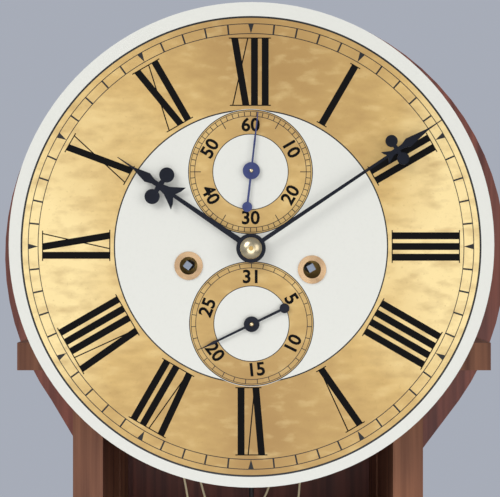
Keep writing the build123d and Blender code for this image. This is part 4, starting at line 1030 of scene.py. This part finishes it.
@dataclass
class Studio:
    """Camera, lamps, floor and backdrop."""

    distance: float = 0.850
    look_at: tuple[float, float] = (0.68, 0.14)
    axis_pixel: tuple[float, float] = (252.0, 248.0)
    frame_size: tuple[float, float] = (500.0, 497.0)
    pixels_per_mm: float = 1.4715
    backdrop: Colour = display(0.655, 0.675, 0.72)
    glow: float = 0.45
    lamps: tuple[tuple[str, Point, Point, float, float], ...] = (
        ("key", (-1.5, -2.6, 3.2), (0, 0, 1.7), 1.6, 38.0),
        ("fill", (1.9, -2.2, 2.0), (0, 0, 1.5), 1.8, 18.0),
        ("low", (0.0, -3.0, 0.9), (0, 0, 0.7), 1.8, 20.0),
    )

    def camera(self) -> None:
        """Place a level camera in front of the dial, at the scale of the photograph."""
        lens = bpy.data.cameras.new("camera")
        lens.sensor_width = 36.0
        lens.lens = 36.0 * self.distance * self.pixels_per_mm / (self.frame_size[0] * MM)
        lens.shift_x = -(self.axis_pixel[0] - self.frame_size[0] / 2) / self.frame_size[0]
        lens.shift_y = (self.axis_pixel[1] - self.frame_size[1] / 2) / self.frame_size[0]
        lens.clip_start, lens.clip_end = 0.02, 50.0
        made = bpy.data.objects.new("camera", lens)
        made.location = (CENTRE_X + self.look_at[0] * MM, DIAL_FRONT - self.distance, CENTRE_Z + self.look_at[1] * MM)
        made.rotation_euler = (math.radians(90), 0, 0)
        bpy.context.scene.collection.objects.link(made)
        bpy.context.scene.camera = made

    def lamp(self, name: str, place: Point, aim: Point, size: float, power: float) -> None:
        """Add one soft area lamp.

        Args:
            name: its name.
            place: where it stands.
            aim: what it points at.
            size: side of its square, in metres.
            power: watts.
        """
        light = bpy.data.lights.new(name, "AREA")
        light.size, light.energy = size, power
        made = bpy.data.objects.new(name, light)
        made.location = place
        made.rotation_euler = (Vector(aim) - Vector(place)).to_track_quat("-Z", "Y").to_euler()
        bpy.context.scene.collection.objects.link(made)

    def surroundings(self) -> None:
        """Add the floor, the even world light and the lamps."""
        floor_look = Plain("studio_floor", display(0.80, 0.81, 0.83), 0.9).build()
        mesh = bpy.data.meshes.new("floor")
        side = 6.0
        corners = [(-side, -side, 0), (side, -side, 0), (side, side, 0), (-side, side, 0)]
        mesh.from_pydata(corners, [], [[0, 1, 2, 3]])
        mesh.materials.append(floor_look)
        floor = bpy.data.objects.new("floor", mesh)
        bpy.context.scene.collection.objects.link(floor)
        world = bpy.data.worlds.new("studio")
        bpy.context.scene.world = world
        world.use_nodes = True
        tree = world.node_tree
        tree.nodes.clear()
        output = tree.nodes.new("ShaderNodeOutputWorld")
        mix = tree.nodes.new("ShaderNodeMixShader")
        path = tree.nodes.new("ShaderNodeLightPath")
        glow, seen = tree.nodes.new("ShaderNodeBackground"), tree.nodes.new("ShaderNodeBackground")
        glow.inputs[0].default_value = (1.0, 1.0, 1.0, 1.0)
        glow.inputs[1].default_value = self.glow
        seen.inputs[0].default_value = (*self.backdrop, 1.0)
        share = path.outputs["Is Camera Ray"]
        for ray in ("Is Glossy Ray", "Is Transmission Ray"):
            either = tree.nodes.new("ShaderNodeMath")
            either.operation = "MAXIMUM"
            tree.links.new(share, either.inputs[0])
            tree.links.new(path.outputs[ray], either.inputs[1])
            share = either.outputs[0]
        tree.links.new(share, mix.inputs[0])
        tree.links.new(glow.outputs[0], mix.inputs[1])
        tree.links.new(seen.outputs[0], mix.inputs[2])
        tree.links.new(mix.outputs[0], output.inputs[0])
        for lamp in self.lamps:
            self.lamp(*lamp)
        bpy.context.scene.view_settings.view_transform = "Standard"


def dress(looks: dict[str, bpy.types.Material]) -> None:
    """Give every CAD node the material of its slot in the record, or the finish that OWN_LOOKS names for it.

    Args:
        looks: materials by slot name.
    """
    slots = {entry["node"]: entry["material_slot"] for entry in frame["record"]["subparts"]}
    for name, node in frame["nodes"].items():
        node.data.materials.clear()
        node.data.materials.append(looks[OWN_LOOKS.get(name, slots[name])])
        log.info("%s: %s", name, slots[name])


def lines(look: bpy.types.Material) -> None:
    """Make the four slack lines.

    Args:
        look: their material.
    """
    for name, side, route, node in (
        ("going_barrel_line", Side.GOING, GOING_BARREL, "going_line"),
        ("going_tied_line", Side.GOING, GOING_TIED, None),
        ("strike_barrel_line", Side.STRIKE, STRIKE_BARREL, "strike_line"),
        ("strike_tied_line", Side.STRIKE, STRIKE_TIED, None),
    ):
        GutLine(name, side, route, node).build(look)


def main() -> None:
    """Build the camera, the lines, the finishes and the printed dial."""
    logging.basicConfig(level=logging.INFO, format="%(name)s %(message)s")
    studio = Studio()
    studio.camera()
    looks = {slot: finish.build() for slot, finish in FINISHES.items()}
    lines(looks["gut"])
    dress(looks)
    ink = Plain("dial_black", display(0.035, 0.03, 0.03), 0.7, 0.12).build()
    Print().build(ink)
    SmallFigures().build(ink)
    Hub(looks["pale_brass"]).build()
    studio.surroundings()
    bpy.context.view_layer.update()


if __name__ == "__main__":
    main()
